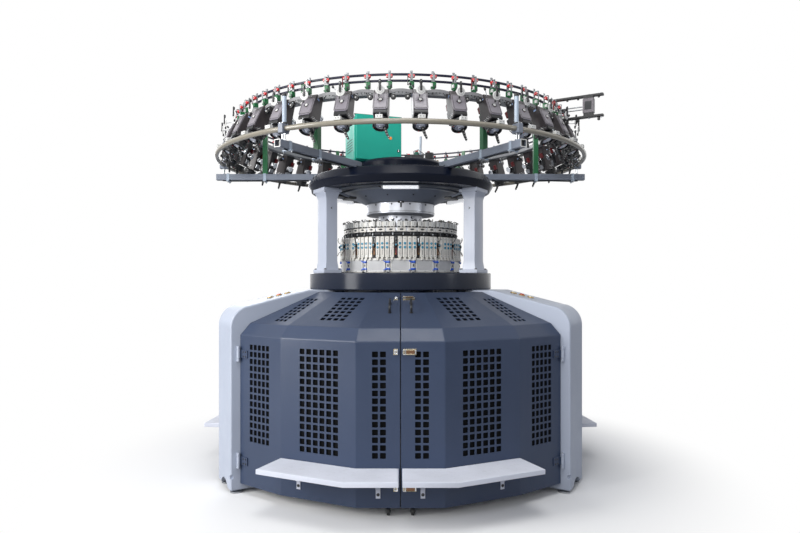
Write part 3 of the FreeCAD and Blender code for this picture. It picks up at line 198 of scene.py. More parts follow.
# Each look's slot ("" for a slot of the look's own name), maker, colour, roughness or glow, and other values
LOOKS = {
    "leg_paint": ("", paint, "#B2BACA", 0.44, dict(dirt=0.1, vary=0.04, bump=0.16, grain=700, dust=0.05)),
    "column_paint": ("", paint, "#B3BACA", 0.34, dict(dirt=0.1, vary=0.04, coat=0.2)),
    "guard_paint": ("", paint, "#37435B", 0.34,
                    dict(dirt=0.14, vary=0.07, bump=0.14, coat=0.05, dust=0.02, specular=0.3)),
    "step_paint": ("", paint, "#D6DAE6", 0.45, dict(vary=0.04)),
    "navy_paint": ("", paint, "#111726", 0.22, dict(dirt=0.05, vary=0.1, bump=0.05, grain=600, specular=0.12)),
    "dark_paint": ("", paint, "#464C56", 0.42, dict(dirt=0.15, vary=0.08, specular=0.3)),
    "brushed_metal": ("", metal, "#BDC0C7", 0.4, dict(brush=(1, 1, 14))),
    "steel": ("", metal, "#9A9DA1", 0.34, {}),
    "latch_metal": ("", metal, "#B3A890", 0.24, dict(vary=0.2, stain=0.5)),
    "bracket_metal": ("", paint, "#96989B", 0.34, dict(metallic=0.25, vary=0.08)),
    "cam_white": ("", paint, "#D9D6CF", 0.38, dict(vary=0.05, coat=0.1)),
    "clear_cover": ("", clear, "#DCDDDF", 0.12, {}),
    "arm_paint": ("", paint, "#7E8592", 0.36, dict(dirt=0.16, vary=0.08, specular=0.35)),
    "tube_paint": ("", paint, "#8C8678", 0.2, dict(dirt=0.1, coat=0.3)),
    "post_paint": ("", paint, "#AAB8C8", 0.3, dict(dirt=0.1, vary=0.05, coat=0.2)),
    "green_paint": ("", paint, "#2E6B45", 0.36, dict(vary=0.08)),
    "rail_paint": ("", paint, "#1A1B33", 0.34, dict(dirt=0.05, vary=0.08, specular=0.25)),
    "cabinet_green": ("", paint, "#14AE98", 0.4, dict(dirt=0.08, vary=0.05, bump=0.2, grain=650)),
    "feeder_grey": ("", paint, "#736E74", 0.34, dict(dirt=0.16, vary=0.08)),
    "black_plastic": ("", paint, "#17181B", 0.36, dict(dirt=0.02, vary=0.15)),
    "green_plastic": ("", paint, "#0A6434", 0.32, dict(dirt=0.1, vary=0.08)),
    "lamp_red": ("", paint, "#D8232A", 0.16, dict(dirt=0.03, vary=0.08, coat=0.5)),
    "lamp_white": ("", glowing, "#F4F6FA", 0.6, {}),
    "button_white": ("", paint, "#DAD5C6", 0.3, dict(dirt=0.08, vary=0.04, coat=0.3)),
    "button_red": ("", paint, "#C0282A", 0.3, dict(dirt=0.05, coat=0.3)),
    "roller_rubber": ("", paint, "#3A3B3D", 0.7, dict(dirt=0.2, vary=0.1, bump=0.3)),
    "caster_rubber": ("", paint, "#1B1C1E", 0.55, dict(dirt=0.25, vary=0.12, bump=0.25)),
    "tread": ("step_paint", checker_plate, "#D9DCE6", 0.7, {}),
    # darker copy of the feeder grey for the feeder body: painted shade on its sides
    "feeder_side": ("feeder_grey", paint, "#3B3638", 0.36, dict(dirt=0.1, vary=0.1)),
    "teal": ("cam_white", paint, "#1A7F9E", 0.28, dict(dirt=0.06, vary=0.08, coat=0.3)),
    "royal_blue": ("cam_white", paint, "#1A55C0", 0.28, dict(dirt=0.06, vary=0.08, coat=0.3)),
    "white_plastic": ("cam_white", paint, "#D9D9D6", 0.34, dict(dirt=0.1, vary=0.04)),
    "chrome": ("steel", metal, "#D5D8DC", 0.14, dict(vary=0.05, stain=0.12)),
    "brass": ("steel", metal, "#A98E5A", 0.28, {}),
    "bolt": ("steel", metal, "#4A4A4C", 0.4, {}),
    "bronze": ("latch_metal", metal, "#7A5C48", 0.34, dict(stain=0.4)),
    "brown": ("steel", metal, "#5E4636", 0.42, dict(stain=0.5)),
    "belt_grey": ("feeder_grey", paint, "#8C8C8E", 0.6, dict(dirt=0.2, vary=0.08, bump=0.25)),
    "dark_green": ("cabinet_green", paint, "#0D5A4A", 0.4, dict(dirt=0.08)),
    "pilot_orange": ("cabinet_green", glowing, "#F08A1E", 0.4, {}),
    "dark_red": ("dark_paint", paint, "#6E1F22", 0.4, dict(dirt=0.1, vary=0.1)),
    "feeder_light": ("feeder_grey", paint, "#858087", 0.3, dict(dirt=0.08, vary=0.05)),
    # lilac strip on the feeders: painted highlight
    "lilac": ("feeder_grey", paint, "#8F8999", 0.3, dict(dirt=0.03, vary=0.08)),
    "bed_paint": ("navy_paint", paint, "#1A2233", 0.17,
                  dict(dirt=0.05, vary=0.1, bump=0.04, grain=600, specular=0.27)),
    "housing_paint": ("dark_paint", paint, "#7A8292", 0.4, dict(vary=0.08, specular=0.35)),
    "carrier_grey": ("arm_paint", paint, "#9A9C9F", 0.36, dict(vary=0.08)),
    "silver": ("steel", paint, "#B9BECB", 0.22, dict(metallic=0.35, dirt=0.06, vary=0.08, coat=0.4)),
    # pale blue for small patches on the feeders: painted reflection
    "sky": ("feeder_grey", paint, "#A9C4F0", 0.2, dict(dirt=0.02, coat=0.4)),
    # dark rubber seal that also darkens the gap between the door leaves: partly painted shade
    "seal_rubber": ("black_plastic", paint, "#141518", 0.6, dict(dirt=0.05, vary=0.1, specular=0.25)),
    # near-black sheet behind the door openings: painted shade for the dark inside of the base
    "screen": ("guard_paint", paint, "#0A0B0D", 0.85, dict(dirt=0.1, vary=0.3, bump=0.5, grain=1500, specular=0.1)),
    # dark paint for small dark parts and marks, also used for painted shade: dark strips, rings, discs and plates
    # that stand for gaps, hollows, holes and grooves
    "inside_dark": ("dark_paint", paint, "#26282C", 0.6, dict(dirt=0.2, vary=0.1)),
}
MATERIALS = {name: maker(name, code, value, **others) for name, (_, maker, code, value, others) in LOOKS.items()}


# ---------------------------------------------------------------------------------------------
# Shapes in millimetres: every function below gives (points, faces)
# ---------------------------------------------------------------------------------------------

def about(axis, degrees):
    return Matrix.Rotation(math.radians(degrees), 4, axis)


def spin(angle):
    """Turn about the machine's axis; 0 is the front, positive angles go towards +X."""
    return about("Z", angle)


def move(x, y, z):
    return Matrix.Translation((x, y, z))


# Frames whose local Z points to the front, with local Y up, and to +X
FORWARD = about("X", 90)
SIDEWAYS = about("Y", 90)


def out_at(angle, reach, z, x=0):
    """Place on the outside of the machine: local Z points out and local Y up."""
    return spin(angle) @ move(x, -reach, z) @ FORWARD


def leaning(origin, out):
    """Frame whose local Z points along out, in the front's middle plane, with local X across."""
    out = Vector(out).normalized()
    side = Vector((1, 0, 0))
    return Matrix.Translation(origin) @ Matrix((side, out.cross(side), out)).transposed().to_4x4()


def ring(count, start=0.0):
    """Angles spread evenly round the machine."""
    return [start + 360 * k / count for k in range(count)]


def span(sign, *ends):
    """Two places across the front, mirrored for the left side."""
    return sorted(end * sign for end in ends)


def from_mesh(bm):
    bm.verts.ensure_lookup_table()
    bm.verts.index_update()
    points = np.array([v.co[:] for v in bm.verts], dtype=float).reshape(-1, 3)
    faces = [tuple(v.index for v in f.verts) for f in bm.faces]
    bm.free()
    return points, faces


def bevelled(bm, width, segments):
    """Rounds the edges that turn by more than 30 degrees."""
    edges = [e for e in bm.edges if len(e.link_faces) == 2 and e.calc_face_angle() > math.radians(30)]
    if width and edges:
        bmesh.ops.bevel(bm, geom=edges, offset=width, segments=segments, affect="EDGES",
                        offset_type="OFFSET", profile=0.5, clamp_overlap=True)


BOXES = {}
ROUND_LIMIT = 0.45      # largest share of an edge that a rounded corner takes


def box(x0, x1, y0, y1, z0, z1, round_=2.0, segments=1):
    """Box with rounded edges."""
    size = (round(abs(x1 - x0), 3), round(abs(y1 - y0), 3), round(abs(z1 - z0), 3), round_, segments)
    if size not in BOXES:
        bm = bmesh.new()
        bmesh.ops.create_cube(bm, size=1.0)
        bmesh.ops.scale(bm, vec=size[:3], verts=bm.verts)
        bevelled(bm, min(round_, min(size[:3]) * ROUND_LIMIT), segments)
        BOXES[size] = from_mesh(bm)
    points, faces = BOXES[size]
    return points + np.array([(x0 + x1) / 2, (y0 + y1) / 2, (z0 + z1) / 2]), faces


def lathe(profile, sides, closed=False):
    """Profile of (radius, z) points carried round Z. Points on the axis close to a single vertex."""
    points, index = [], []
    for s in range(sides):
        turn = math.radians(360 * s / sides)
        row = []
        for k, (radius, z) in enumerate(profile):
            if radius <= SMALL and s > 0:
                row.append(index[0][k])
            else:
                row.append(len(points))
                points.append((radius * math.sin(turn), -radius * math.cos(turn), z))
        index.append(row)
    faces = []
    count = len(profile)
    for s in range(sides):
        a, b = index[s], index[(s + 1) % sides]
        for i in range(count if closed else count - 1):
            j = (i + 1) % count
            face = tuple(dict.fromkeys((a[i], b[i], b[j], a[j])))
            if len(face) > 2:
                faces.append(face)
    return np.array(points, dtype=float), faces


def eased(profile, radius, steps=3, closed=False):
    """Outline of 2-D points with its corners rounded."""
    out = []
    count = len(profile)
    for i, p in enumerate(profile):
        if not closed and i in (0, count - 1):
            out.append(p)
            continue
        a, b = profile[i - 1], profile[(i + 1) % count]
        la = math.hypot(a[0] - p[0], a[1] - p[1])
        lb = math.hypot(b[0] - p[0], b[1] - p[1])
        if min(la, lb) < SMALL:
            continue
        cut = min(radius, la * ROUND_LIMIT, lb * ROUND_LIMIT)
        start = (p[0] + (a[0] - p[0]) * cut / la, p[1] + (a[1] - p[1]) * cut / la)
        end = (p[0] + (b[0] - p[0]) * cut / lb, p[1] + (b[1] - p[1]) * cut / lb)
        for s in range(steps + 1):
            t = s / steps
            out.append(tuple((1 - t) ** 2 * q + 2 * t * (1 - t) * m + t * t * w
                             for q, m, w in zip(start, p, end)))
    return out


def turned(profile, ease, steps, sides):
    """Solid of revolution with eased corners, from a profile that starts and ends on the axis."""
    return lathe(eased(profile, ease, steps), sides)


def hoop(profile, ease, steps, sides):
    """Ring with eased corners, from the closed outline of its section."""
    return lathe(eased(profile, ease, steps, True), sides, closed=True)


def band(inner, outer, z0, z1, ease, steps, sides):
    """Ring of rectangular section."""
    return hoop([(inner, z0), (outer, z0), (outer, z1), (inner, z1)], ease, steps, sides)


def disc(radius, z0, z1, ease, steps, sides):
    """Short round bar."""
    return turned([(0, z0), (radius, z0), (radius, z1), (0, z1)], ease, steps, sides)


def rod(radius, length, sides=12, ease=1.0):
    """Round bar that stands on the origin, with eased ends."""
    ease = min(ease, radius * ROUND_LIMIT, length * ROUND_LIMIT)
    return lathe([(0, 0), (radius - ease, 0), (radius, ease), (radius, length - ease),
                  (radius - ease, length), (0, length)], sides)


def knob(radius, height, sides=12):
    """Low round knob with an eased rim."""
    return lathe(eased([(0, 0), (radius, 0), (radius, height), (0, height)], radius * 0.35, 2)[1:], sides)


def hexagon(radius, height):
    return disc(radius, 0, height, 1.0, 1, 6)


def drawn(outline, z0, z1, round_=0.0, segments=1):
    """Closed outline of (x, y) points drawn up from z0 to z1."""
    bm = bmesh.new()
    face = bm.faces.new([bm.verts.new((x, y, z0)) for x, y in outline])
    raised(bm, [face], z1 - z0)
    bevelled(bm, round_, segments)
    return from_mesh(bm)


def raised(bm, faces, height):
    """Gives flat faces a thickness along Z."""
    extra = bmesh.ops.extrude_face_region(bm, geom=faces)["geom"]
    bmesh.ops.translate(bm, vec=(0, 0, height), verts=[g for g in extra if isinstance(g, bmesh.types.BMVert)])
    bmesh.ops.recalc_face_normals(bm, faces=bm.faces)


def across(outline, x0, x1, round_=0.0, segments=1):
    """Closed outline of (reach, z) points drawn across the front from x0 to x1."""
    points, faces = drawn(outline, x0, x1, round_, segments)
    return np.stack([points[:, 2], -points[:, 0], points[:, 1]], axis=1), [f[::-1] for f in faces]


def sector(inner, outer, degrees, z0, z1, round_, steps):
    """Block between two radii, centred on the front."""
    half = math.radians(degrees / 2)
    turns = [-half + 2 * half * k / steps for k in range(steps + 1)]
    outline = [(outer * math.sin(t), -outer * math.cos(t)) for t in turns]
    outline += [(inner * math.sin(t), -inner * math.cos(t)) for t in turns[::-1]]
    return drawn(outline, z0, z1, round_)


def pipe(path, radius, sides=10, closed=False):
    """Tube along a line of points; radius may be one number or one for each point."""
    path = [Vector(p) for p in path]
    count = len(path)
    radii = radius if isinstance(radius, (list, tuple)) else [radius] * count
    points, rings = [], []
    normal = None
    for i, p in enumerate(path):
        before = path[i - 1] if i or closed else p
        after = path[(i + 1) % count] if i < count - 1 or closed else p
        tangent = (after - before).normalized()
        if normal is None:
            other = Vector((0, 0, 1)) if abs(tangent.z) < 0.9 else Vector((1, 0, 0))
            normal = tangent.cross(other).normalized()
        normal = (normal - tangent * normal.dot(tangent)).normalized()
        side = tangent.cross(normal)
        rings.append(range(len(points), len(points) + sides))
        for k in range(sides):
            t = 2 * math.pi * k / sides
            points.append(p + (normal * math.cos(t) + side * math.sin(t)) * radii[i])
    faces = []
    for a, b in zip(rings, rings[1:] + (rings[:1] if closed else [])):
        for k in range(sides):
            j = (k + 1) % sides
            faces.append((a[k], a[j], b[j], b[k]))
    if not closed:
        faces += [tuple(reversed(rings[0])), tuple(rings[-1])]
    return np.array([p[:] for p in points], dtype=float), faces


def placed(shape, *matrices):
    points, faces = shape
    whole = Matrix.Identity(4)
    for m in matrices:
        whole = whole @ m
    array = np.array(whole)
    return points @ array[:3, :3].T + array[:3, 3], faces


class Kit:
    """Shapes gathered by material. Each material becomes one piece, on one body."""

    def __init__(self, name, body="machine", angle=32):
        self.name, self.body, self.angle = name, body, angle
        self.groups = {}

    def add(self, look, shape, *matrices):
        self.groups.setdefault(look, []).append(placed(shape, *matrices) if matrices else shape)

    def at(self, *place):
        """An add whose shapes all stand in one frame."""
        return lambda look, shape, *matrices: self.add(look, shape, *place, *matrices)

    def around(self, angles, *matrices):
        """One such add for each of several angles round the machine."""
        return [self.at(spin(angle), *matrices) for angle in angles]

    def every(self, look, shape, angles, *matrices):
        """The same shape at several angles round the machine."""
        for angle in angles:
            self.add(look, shape, spin(angle), *matrices)

    def make(self, replaces=None):
        """The pieces, one for each look; the node named in replaces is hidden."""
        for look, shapes in self.groups.items():
            name = f"{self.name}.{look}"
            points = np.concatenate([p for p, f in shapes]) * MM
            faces, start = [], 0
            for p, f in shapes:
                faces += [tuple(i + start for i in face) for face in f]
                start += len(p)
            mesh = bpy.data.meshes.new(name)
            mesh.from_pydata(points.tolist(), [], faces)
            mesh.validate()
            piece = finish_mesh(name, mesh, look, self.angle)
            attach(piece, self.body)
        if replaces:
            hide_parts(replaces)


def single(node, look, shape, angles=(0,), place=(), body="machine", sharp=32):
    """A node of one look, as one shape or as the same shape at several angles."""
    kit = Kit(node, body, sharp)
    kit.every(look, shape, angles, *place)
    kit.make(node)


def in_scene(name, data):
    """New object in the scene."""
    made = bpy.data.objects.new(name, data)
    bpy.context.scene.collection.objects.link(made)
    return made


def facing_out(mesh):
    """Makes the mesh's faces agree on their outside."""
    bm = bmesh.new()
    bm.from_mesh(mesh)
    bmesh.ops.recalc_face_normals(bm, faces=bm.faces)
    bm.to_mesh(mesh)
    bm.free()


def finish_mesh(name, mesh, look, angle=32):
    facing_out(mesh)
    mesh.shade_smooth()
    mesh.set_sharp_from_angle(angle=math.radians(angle))
    piece = in_scene(name, mesh)
    mesh.materials.append(MATERIALS[look])
    normals = piece.modifiers.new("normals", "WEIGHTED_NORMAL")
    normals.keep_sharp = True
    return piece


def soften(node, width, look, segments=2):
    """Copy of a CAD node with flat faces merged and edges rounded, in its place."""
    source = frame["nodes"][node]
    mesh = source.data.copy()
    mesh.name = node + ".soft"
    mesh.materials.clear()
    bm = bmesh.new()
    bm.from_mesh(mesh)
    bmesh.ops.remove_doubles(bm, verts=bm.verts, dist=0.00002)
    bmesh.ops.dissolve_limit(bm, angle_limit=math.radians(1.0), verts=bm.verts, edges=bm.edges)
    bevelled(bm, width * MM, segments)
    bm.to_mesh(mesh)
    bm.free()
    for name in [a.name for a in mesh.attributes if a.name in ("custom_normal", "sharp_edge")]:
        mesh.attributes.remove(mesh.attributes[name])
    piece = finish_mesh(node + ".soft", mesh, look)
    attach(piece, source.get("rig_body", "machine"))
    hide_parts(node)


# ---------------------------------------------------------------------------------------------
# Camera, floor and light
# ---------------------------------------------------------------------------------------------

def camera():
    data = bpy.data.cameras.new("camera")
    data.sensor_width = 36.0
    data.lens = 27.9
    data.shift_x = -0.0006
    data.shift_y = 0.01375
    place = in_scene("camera", data)
    place.location = (0, -4.683, 1.365)
    place.rotation_euler = (math.radians(90), 0, 0)
    bpy.context.scene.camera = place


def studio():
    """World that lights the machine faintly, and looks white to the camera, in mirrors and through glass."""
    world = bpy.data.worlds.new("studio")
    bpy.context.scene.world = world
    world.use_nodes = True
    tree = world.node_tree
    tree.nodes.clear()
    out, mix, lit, seen, rays, first, second = (tree.nodes.new("ShaderNode" + kind) for kind in (
        "OutputWorld", "MixShader", "Background", "Background", "LightPath", "Math", "Math"))
    for node, colour, strength in ((lit, (0.86, 0.90, 1.0, 1), 0.32), (seen, (1, 1, 1, 1), 1.0)):
        node.inputs["Color"].default_value = colour
        node.inputs["Strength"].default_value = strength
    first.operation = second.operation = "ADD"
    second.use_clamp = True
    for source, node, place in ((rays.outputs["Is Camera Ray"], first, 0), (rays.outputs["Is Glossy Ray"], first, 1),
                                (first.outputs[0], second, 0), (rays.outputs["Is Transmission Ray"], second, 1),
                                (second.outputs[0], mix, 0), (lit.outputs[0], mix, 1), (seen.outputs[0], mix, 2),
                                (mix.outputs[0], out, 0)):
        tree.links.new(source, node.inputs[place])


def lights():
    for name, spot, aim, size, power, colour in (
            ("key", (-6.0, -3.8, 3.6), (0, 0, 1.2), 3.2, 350, (1.0, 0.99, 0.97)),
            ("side", (-6.0, -3.6, 1.2), (-0.6, -1.0, 1.0), 1.8, 80, (1, 1, 1)),
            ("front", (-1.4, -6.4, 3.2), (0, 0, 1.2), 2.6, 95, (1, 1, 1)),
            ("strip", (5.2, -2.9, 2.0), (0, 0, 1.5), 0.8, 18, (0.93, 0.96, 1.0)),
            ("top", (0.0, -3.0, 6.0), (0, -1.0, 1.1), 2.4, 105, (1, 1, 1)),
            ("back", (-2.5, 5.5, 3.5), (0, 0, 1.5), 3.0, 90, (0.95, 0.97, 1.0))):
        data = bpy.data.lights.new(name, "AREA")
        data.shape = "SQUARE"
        data.size = size
        data.energy = power
        data.color = colour
        light = in_scene(name, data)
        light.location = spot
        light.rotation_euler = (Vector(aim) - Vector(spot)).to_track_quat("-Z", "Y").to_euler()


def floor():
    n = Nodes("floor")
    shade = n.ramp(n.noise(0.8), (0.88, 0.88, 0.88), (0.90, 0.90, 0.90))
    bounce = n.add("LightPath").outputs["Is Diffuse Ray"]
    n.put(n.shader, {"Base Color": n.mix(bounce, shade, (0.30, 0.30, 0.31)),
                     "Roughness": n.spread(n.noise(12.0), 0.75, 0.9), "Specular IOR Level": 0.1})
    # far from the machine the floor turns white for the camera, so that no horizon shows
    apart = n.add("VectorMath", {0: n.place}, operation="LENGTH").outputs["Value"]
    fade = n.add("MapRange", {"From Min": 1.25, "From Max": 2.5, "Value": apart}, interpolation_type="SMOOTHSTEP")
    rays = n.add("LightPath")
    seen = n.add("Math", {0: fade.outputs["Result"], 1: rays.outputs["Is Camera Ray"]}, operation="MULTIPLY")
    white = n.add("Emission", {"Color": (1, 1, 1, 1)})
    blend = n.add("MixShader", {0: seen.outputs[0], 1: n.shader.outputs[0], 2: white.outputs[0]})
    output = next(node for node in n.tree.nodes if node.type == "OUTPUT_MATERIAL")
    n.put(output, {"Surface": blend.outputs[0]})
    mesh = bpy.data.meshes.new("floor")
    half = 60.0
    mesh.from_pydata([(-half, -half, 0), (half, -half, 0), (half, half, 0), (-half, half, 0)], [], [(0, 1, 2, 3)])
    mesh.materials.append(n.material)
    in_scene("floor", mesh)


camera()
studio()
lights()
floor()
bpy.context.scene.view_settings.view_transform = "Standard"


# ---------------------------------------------------------------------------------------------
# Base: guards, doors, steps, legs
# ---------------------------------------------------------------------------------------------

SIDE = 24.0
HALF = SIDE / 2
TAN_HALF = math.tan(math.radians(HALF))
CORNER_SCALE = 1 / math.cos(math.radians(HALF))
END_ANGLE = 36.0
END_CORNER = 57.0
FOOT = 1188                                     # reach of the upright facets
SHOULDER, EAVES = (1132, 1075), (712, 1268)     # ends of the sloping facets, as (reach, z)
GUARD_LINE = [(FOOT, 65), (FOOT, 1003), SHOULDER, EAVES]
HALF_SIDE = FOOT * TAN_HALF
END_REACH = FOOT * CORNER_SCALE
SHEET = 4
LEG_HALF = 152.5
LEG_ANGLES = (-60, 60, 180)
REAR_BAYS = (-120, 120)
HOLE = 33
COLUMN_PITCH = 45
ROW_PITCH = 44
HOLE_ROWS = 14
TOP_ROW = 931
DOORS = (("right", 1), ("left", -1))
SEAM = 3.0                                      # half the gap between the leaves
HINGE_LEVELS = (212, 884)
HINGE_OUT = 17                                  # from the sheet to the line of the hinges
STEP_DEPTH = 245


def window(u, v, width=HOLE, height=HOLE):
    """Nearly square opening with slightly rounded corners."""
    w, h, ease = width / 2, height / 2, 2.5
    return [(u - w + ease, v - h), (u + w - ease, v - h), (u + w, v - h + ease), (u + w, v + h - ease),
            (u + w - ease, v + h), (u - w + ease, v + h), (u - w, v + h - ease), (u - w, v - h + ease)]


def pierced(outline, holes):
    """Flat face with openings, as 2-D points and faces."""
    points, edges, faces = [], [], []
    for loop in [outline] + holes:
        start = len(points)
        points += [Vector(p) for p in loop]
        edges += [(start + i, start + (i + 1) % len(loop)) for i in range(len(loop))]
        faces.append(list(range(start, start + len(loop))))
    flat, _, parts, _, _, sources = delaunay_2d_cdt(points, edges, faces, 1, 1e-4)
    return [tuple(p) for p in flat], [f for f, source in zip(parts, sources) if list(source) == [0]]


def guard_holes(side, rear):
    """Openings of the upright and of the sloping facet of a side, as (u, v) outlines.

    u is the distance from the foot of the side's normal, v the distance up from the facet's lower edge.
    """
    rows = [TOP_ROW - ROW_PITCH * k - GUARD_LINE[0][1] for k in range(HOLE_ROWS)]
    sign = -1 if side < 0 else 1
    if side == 0:
        columns = [(k - 2.5) * COLUMN_PITCH for k in range(6)] if rear else [-144, -99, 99, 144]
        return [window(u, v) for u in columns for v in rows], []
    if abs(side) == 1:
        columns = [131 - HALF_SIDE + COLUMN_PITCH * k for k in range(6)]
        upright = [window(sign * u, v) for u in columns for v in rows]
        slope = [window(sign * (COLUMN_PITCH * k - 87), 96 + 46 * j, 31, 31) for k in range(4) for j in range(7)]
        return upright, slope
    columns = [117 + 37 * k for k in range(5)]
    upright = [window(sign * u, v, 27) for u in columns for v in rows]
    slope = [window(sign * (78 + 36 * k), 60 + 42 * j, 25, 29) for k in range(3) for j in range(8)]
    return upright, slope


def side_frame(side):
    """Angle of the normal that a side is measured from, and the scale of the guard's reaches along it."""
    if abs(side) < 2:
        return side * SIDE, 1.0
    return math.copysign(END_ANGLE, side), CORNER_SCALE


def side_ends(side):
    """Where a side starts and stops across its normal, for a reach of 1."""
    if abs(side) < 2:
        return -TAN_HALF, TAN_HALF
    far = CORNER_SCALE * math.tan(math.radians(END_CORNER - END_ANGLE))
    return (0.0, far) if side > 0 else (-far, 0.0)


def guard_shell(sides, rear, seam=None):
    """Open sheet through the facets of some sides of a bay; the seam cuts it off near the middle."""
    bm = bmesh.new()
    for side in sides:
        upright, slope = guard_holes(side, rear)
        angle, scale = side_frame(side)
        turn = spin(angle)
        left, right = side_ends(side)
        for i, ((r0, z0), (r1, z1)) in enumerate(zip(GUARD_LINE, GUARD_LINE[1:])):
            low, high = [left * r0, right * r0], [left * r1, right * r1]
            holes = (upright, [], slope)[i]
            if seam is not None and side == 0:
                end = 0 if seam > 0 else 1
                low[end] = high[end] = seam
                holes = [h for h in holes if h[0][0] * seam > 0]
            length = math.hypot((r1 - r0) * scale, z1 - z0)
            outline = [(low[0], 0), (low[1], 0), (high[1], length), (high[0], length)]
            points, faces = pierced(outline, holes)
            made = []
            for u, v in points:
                t = v / length
                made.append(bm.verts.new(turn @ Vector((u, -scale * (r0 + (r1 - r0) * t), z0 + (z1 - z0) * t))))
            for f in faces:
                bm.faces.new([made[k] for k in f])
    bmesh.ops.remove_doubles(bm, verts=bm.verts, dist=0.05)
    return bm


def cut_beside_leg(bm, angle, side, gap):
    """Cuts the sheet off beside a leg; side is the side of the leg that the sheet is on."""
    turn = spin(angle)
    point = turn @ Vector((side * (LEG_HALF + gap), -1000, 0))
    normal = turn.to_3x3() @ Vector((-side, 0, 0))
    bmesh.ops.bisect_plane(bm, geom=bm.verts[:] + bm.edges[:] + bm.faces[:], dist=0.001, plane_co=point,
                           plane_no=normal, clear_outer=True)


def outward(bm):
    """Faces turned so that their normals point away from the machine's axis."""
    bmesh.ops.recalc_face_normals(bm, faces=bm.faces)
    middle = Vector((0, 0, 300))
    if sum(f.normal.dot(f.calc_center_median() - middle) * f.calc_area() for f in bm.faces) < 0:
        bmesh.ops.reverse_faces(bm, faces=bm.faces)


def sheet_object(name, bm, body, node):
    """Sheet metal of full thickness, with its bends slightly rounded."""
    bmesh.ops.dissolve_limit(bm, angle_limit=math.radians(0.5), verts=bm.verts, edges=bm.edges)
    bmesh.ops.scale(bm, vec=(MM, MM, MM), verts=bm.verts)
    mesh = bpy.data.meshes.new(name)
    bm.to_mesh(mesh)
    bm.free()
    mesh.materials.append(MATERIALS["guard_paint"])
    piece = in_scene(name, mesh)
    bend = piece.modifiers.new("bend", "BEVEL")
    bend.width = 0.005
    bend.segments = 3
    bend.limit_method = "ANGLE"
    bend.angle_limit = math.radians(8)
    thick = piece.modifiers.new("sheet", "SOLIDIFY")
    thick.thickness = SHEET * MM
    thick.offset = -1
    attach(piece, body)
    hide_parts(node)


def bolt(kit, place, radius, height, washer=True):
    """Hexagon head, on a washer or bare."""
    if washer:
        kit.add("bolt", rod(radius * 1.45, 2.2, 16, 0.6), place)
    kit.add("bolt", hexagon(radius, height), place @ move(0, 0, 2))


def screw(kit, place, radius, look):
    """Low round screw head with a hexagon socket."""
    kit.add(look, lathe([(0, 1.2), (radius * 0.45, 1.2), (radius * 0.5, radius * 0.62), (radius * 0.8, radius * 0.6),
                         (radius, radius * 0.3), (radius, 0), (0, 0)], 12), place)


def hinge_place():
    """Hinge line beside a leg: its distance across the leg and reach along it, and the sheet's tilt to the leg."""
    lateral = LEG_HALF + 14
    tilt = math.radians(60 - END_ANGLE)
    return lateral, (END_REACH + HINGE_OUT - lateral * math.sin(tilt)) / math.cos(tilt), tilt


def slope_frame(scale=1.0):
    """Frame on a sloping facet, from the middle of its lower edge: local Y goes up the slope, Z out of it."""
    (r0, z0), (r1, z1) = ((r * scale, z) for r, z in (SHOULDER, EAVES))
    return leaning((0, -r0, z0), (0, z0 - z1, r0 - r1))


def flange_ends(side):
    """Ends of the foot flange of a side, which stops before the leg."""
    if abs(side) == 2:
        return (4.0, 355.0) if side > 0 else (-355.0, -4.0)
    return [v * FOOT for v in side_ends(side)]


def foot_flange(kit, side, left, right, bay=0):
    angle, scale = side_frame(side)
    flange = box(left + 2, right - 2, -(FOOT * scale - 4.5), -(FOOT * scale - 28), 65.5, 69, 0.8)
    kit.add("guard_paint", flange, spin(bay + angle))


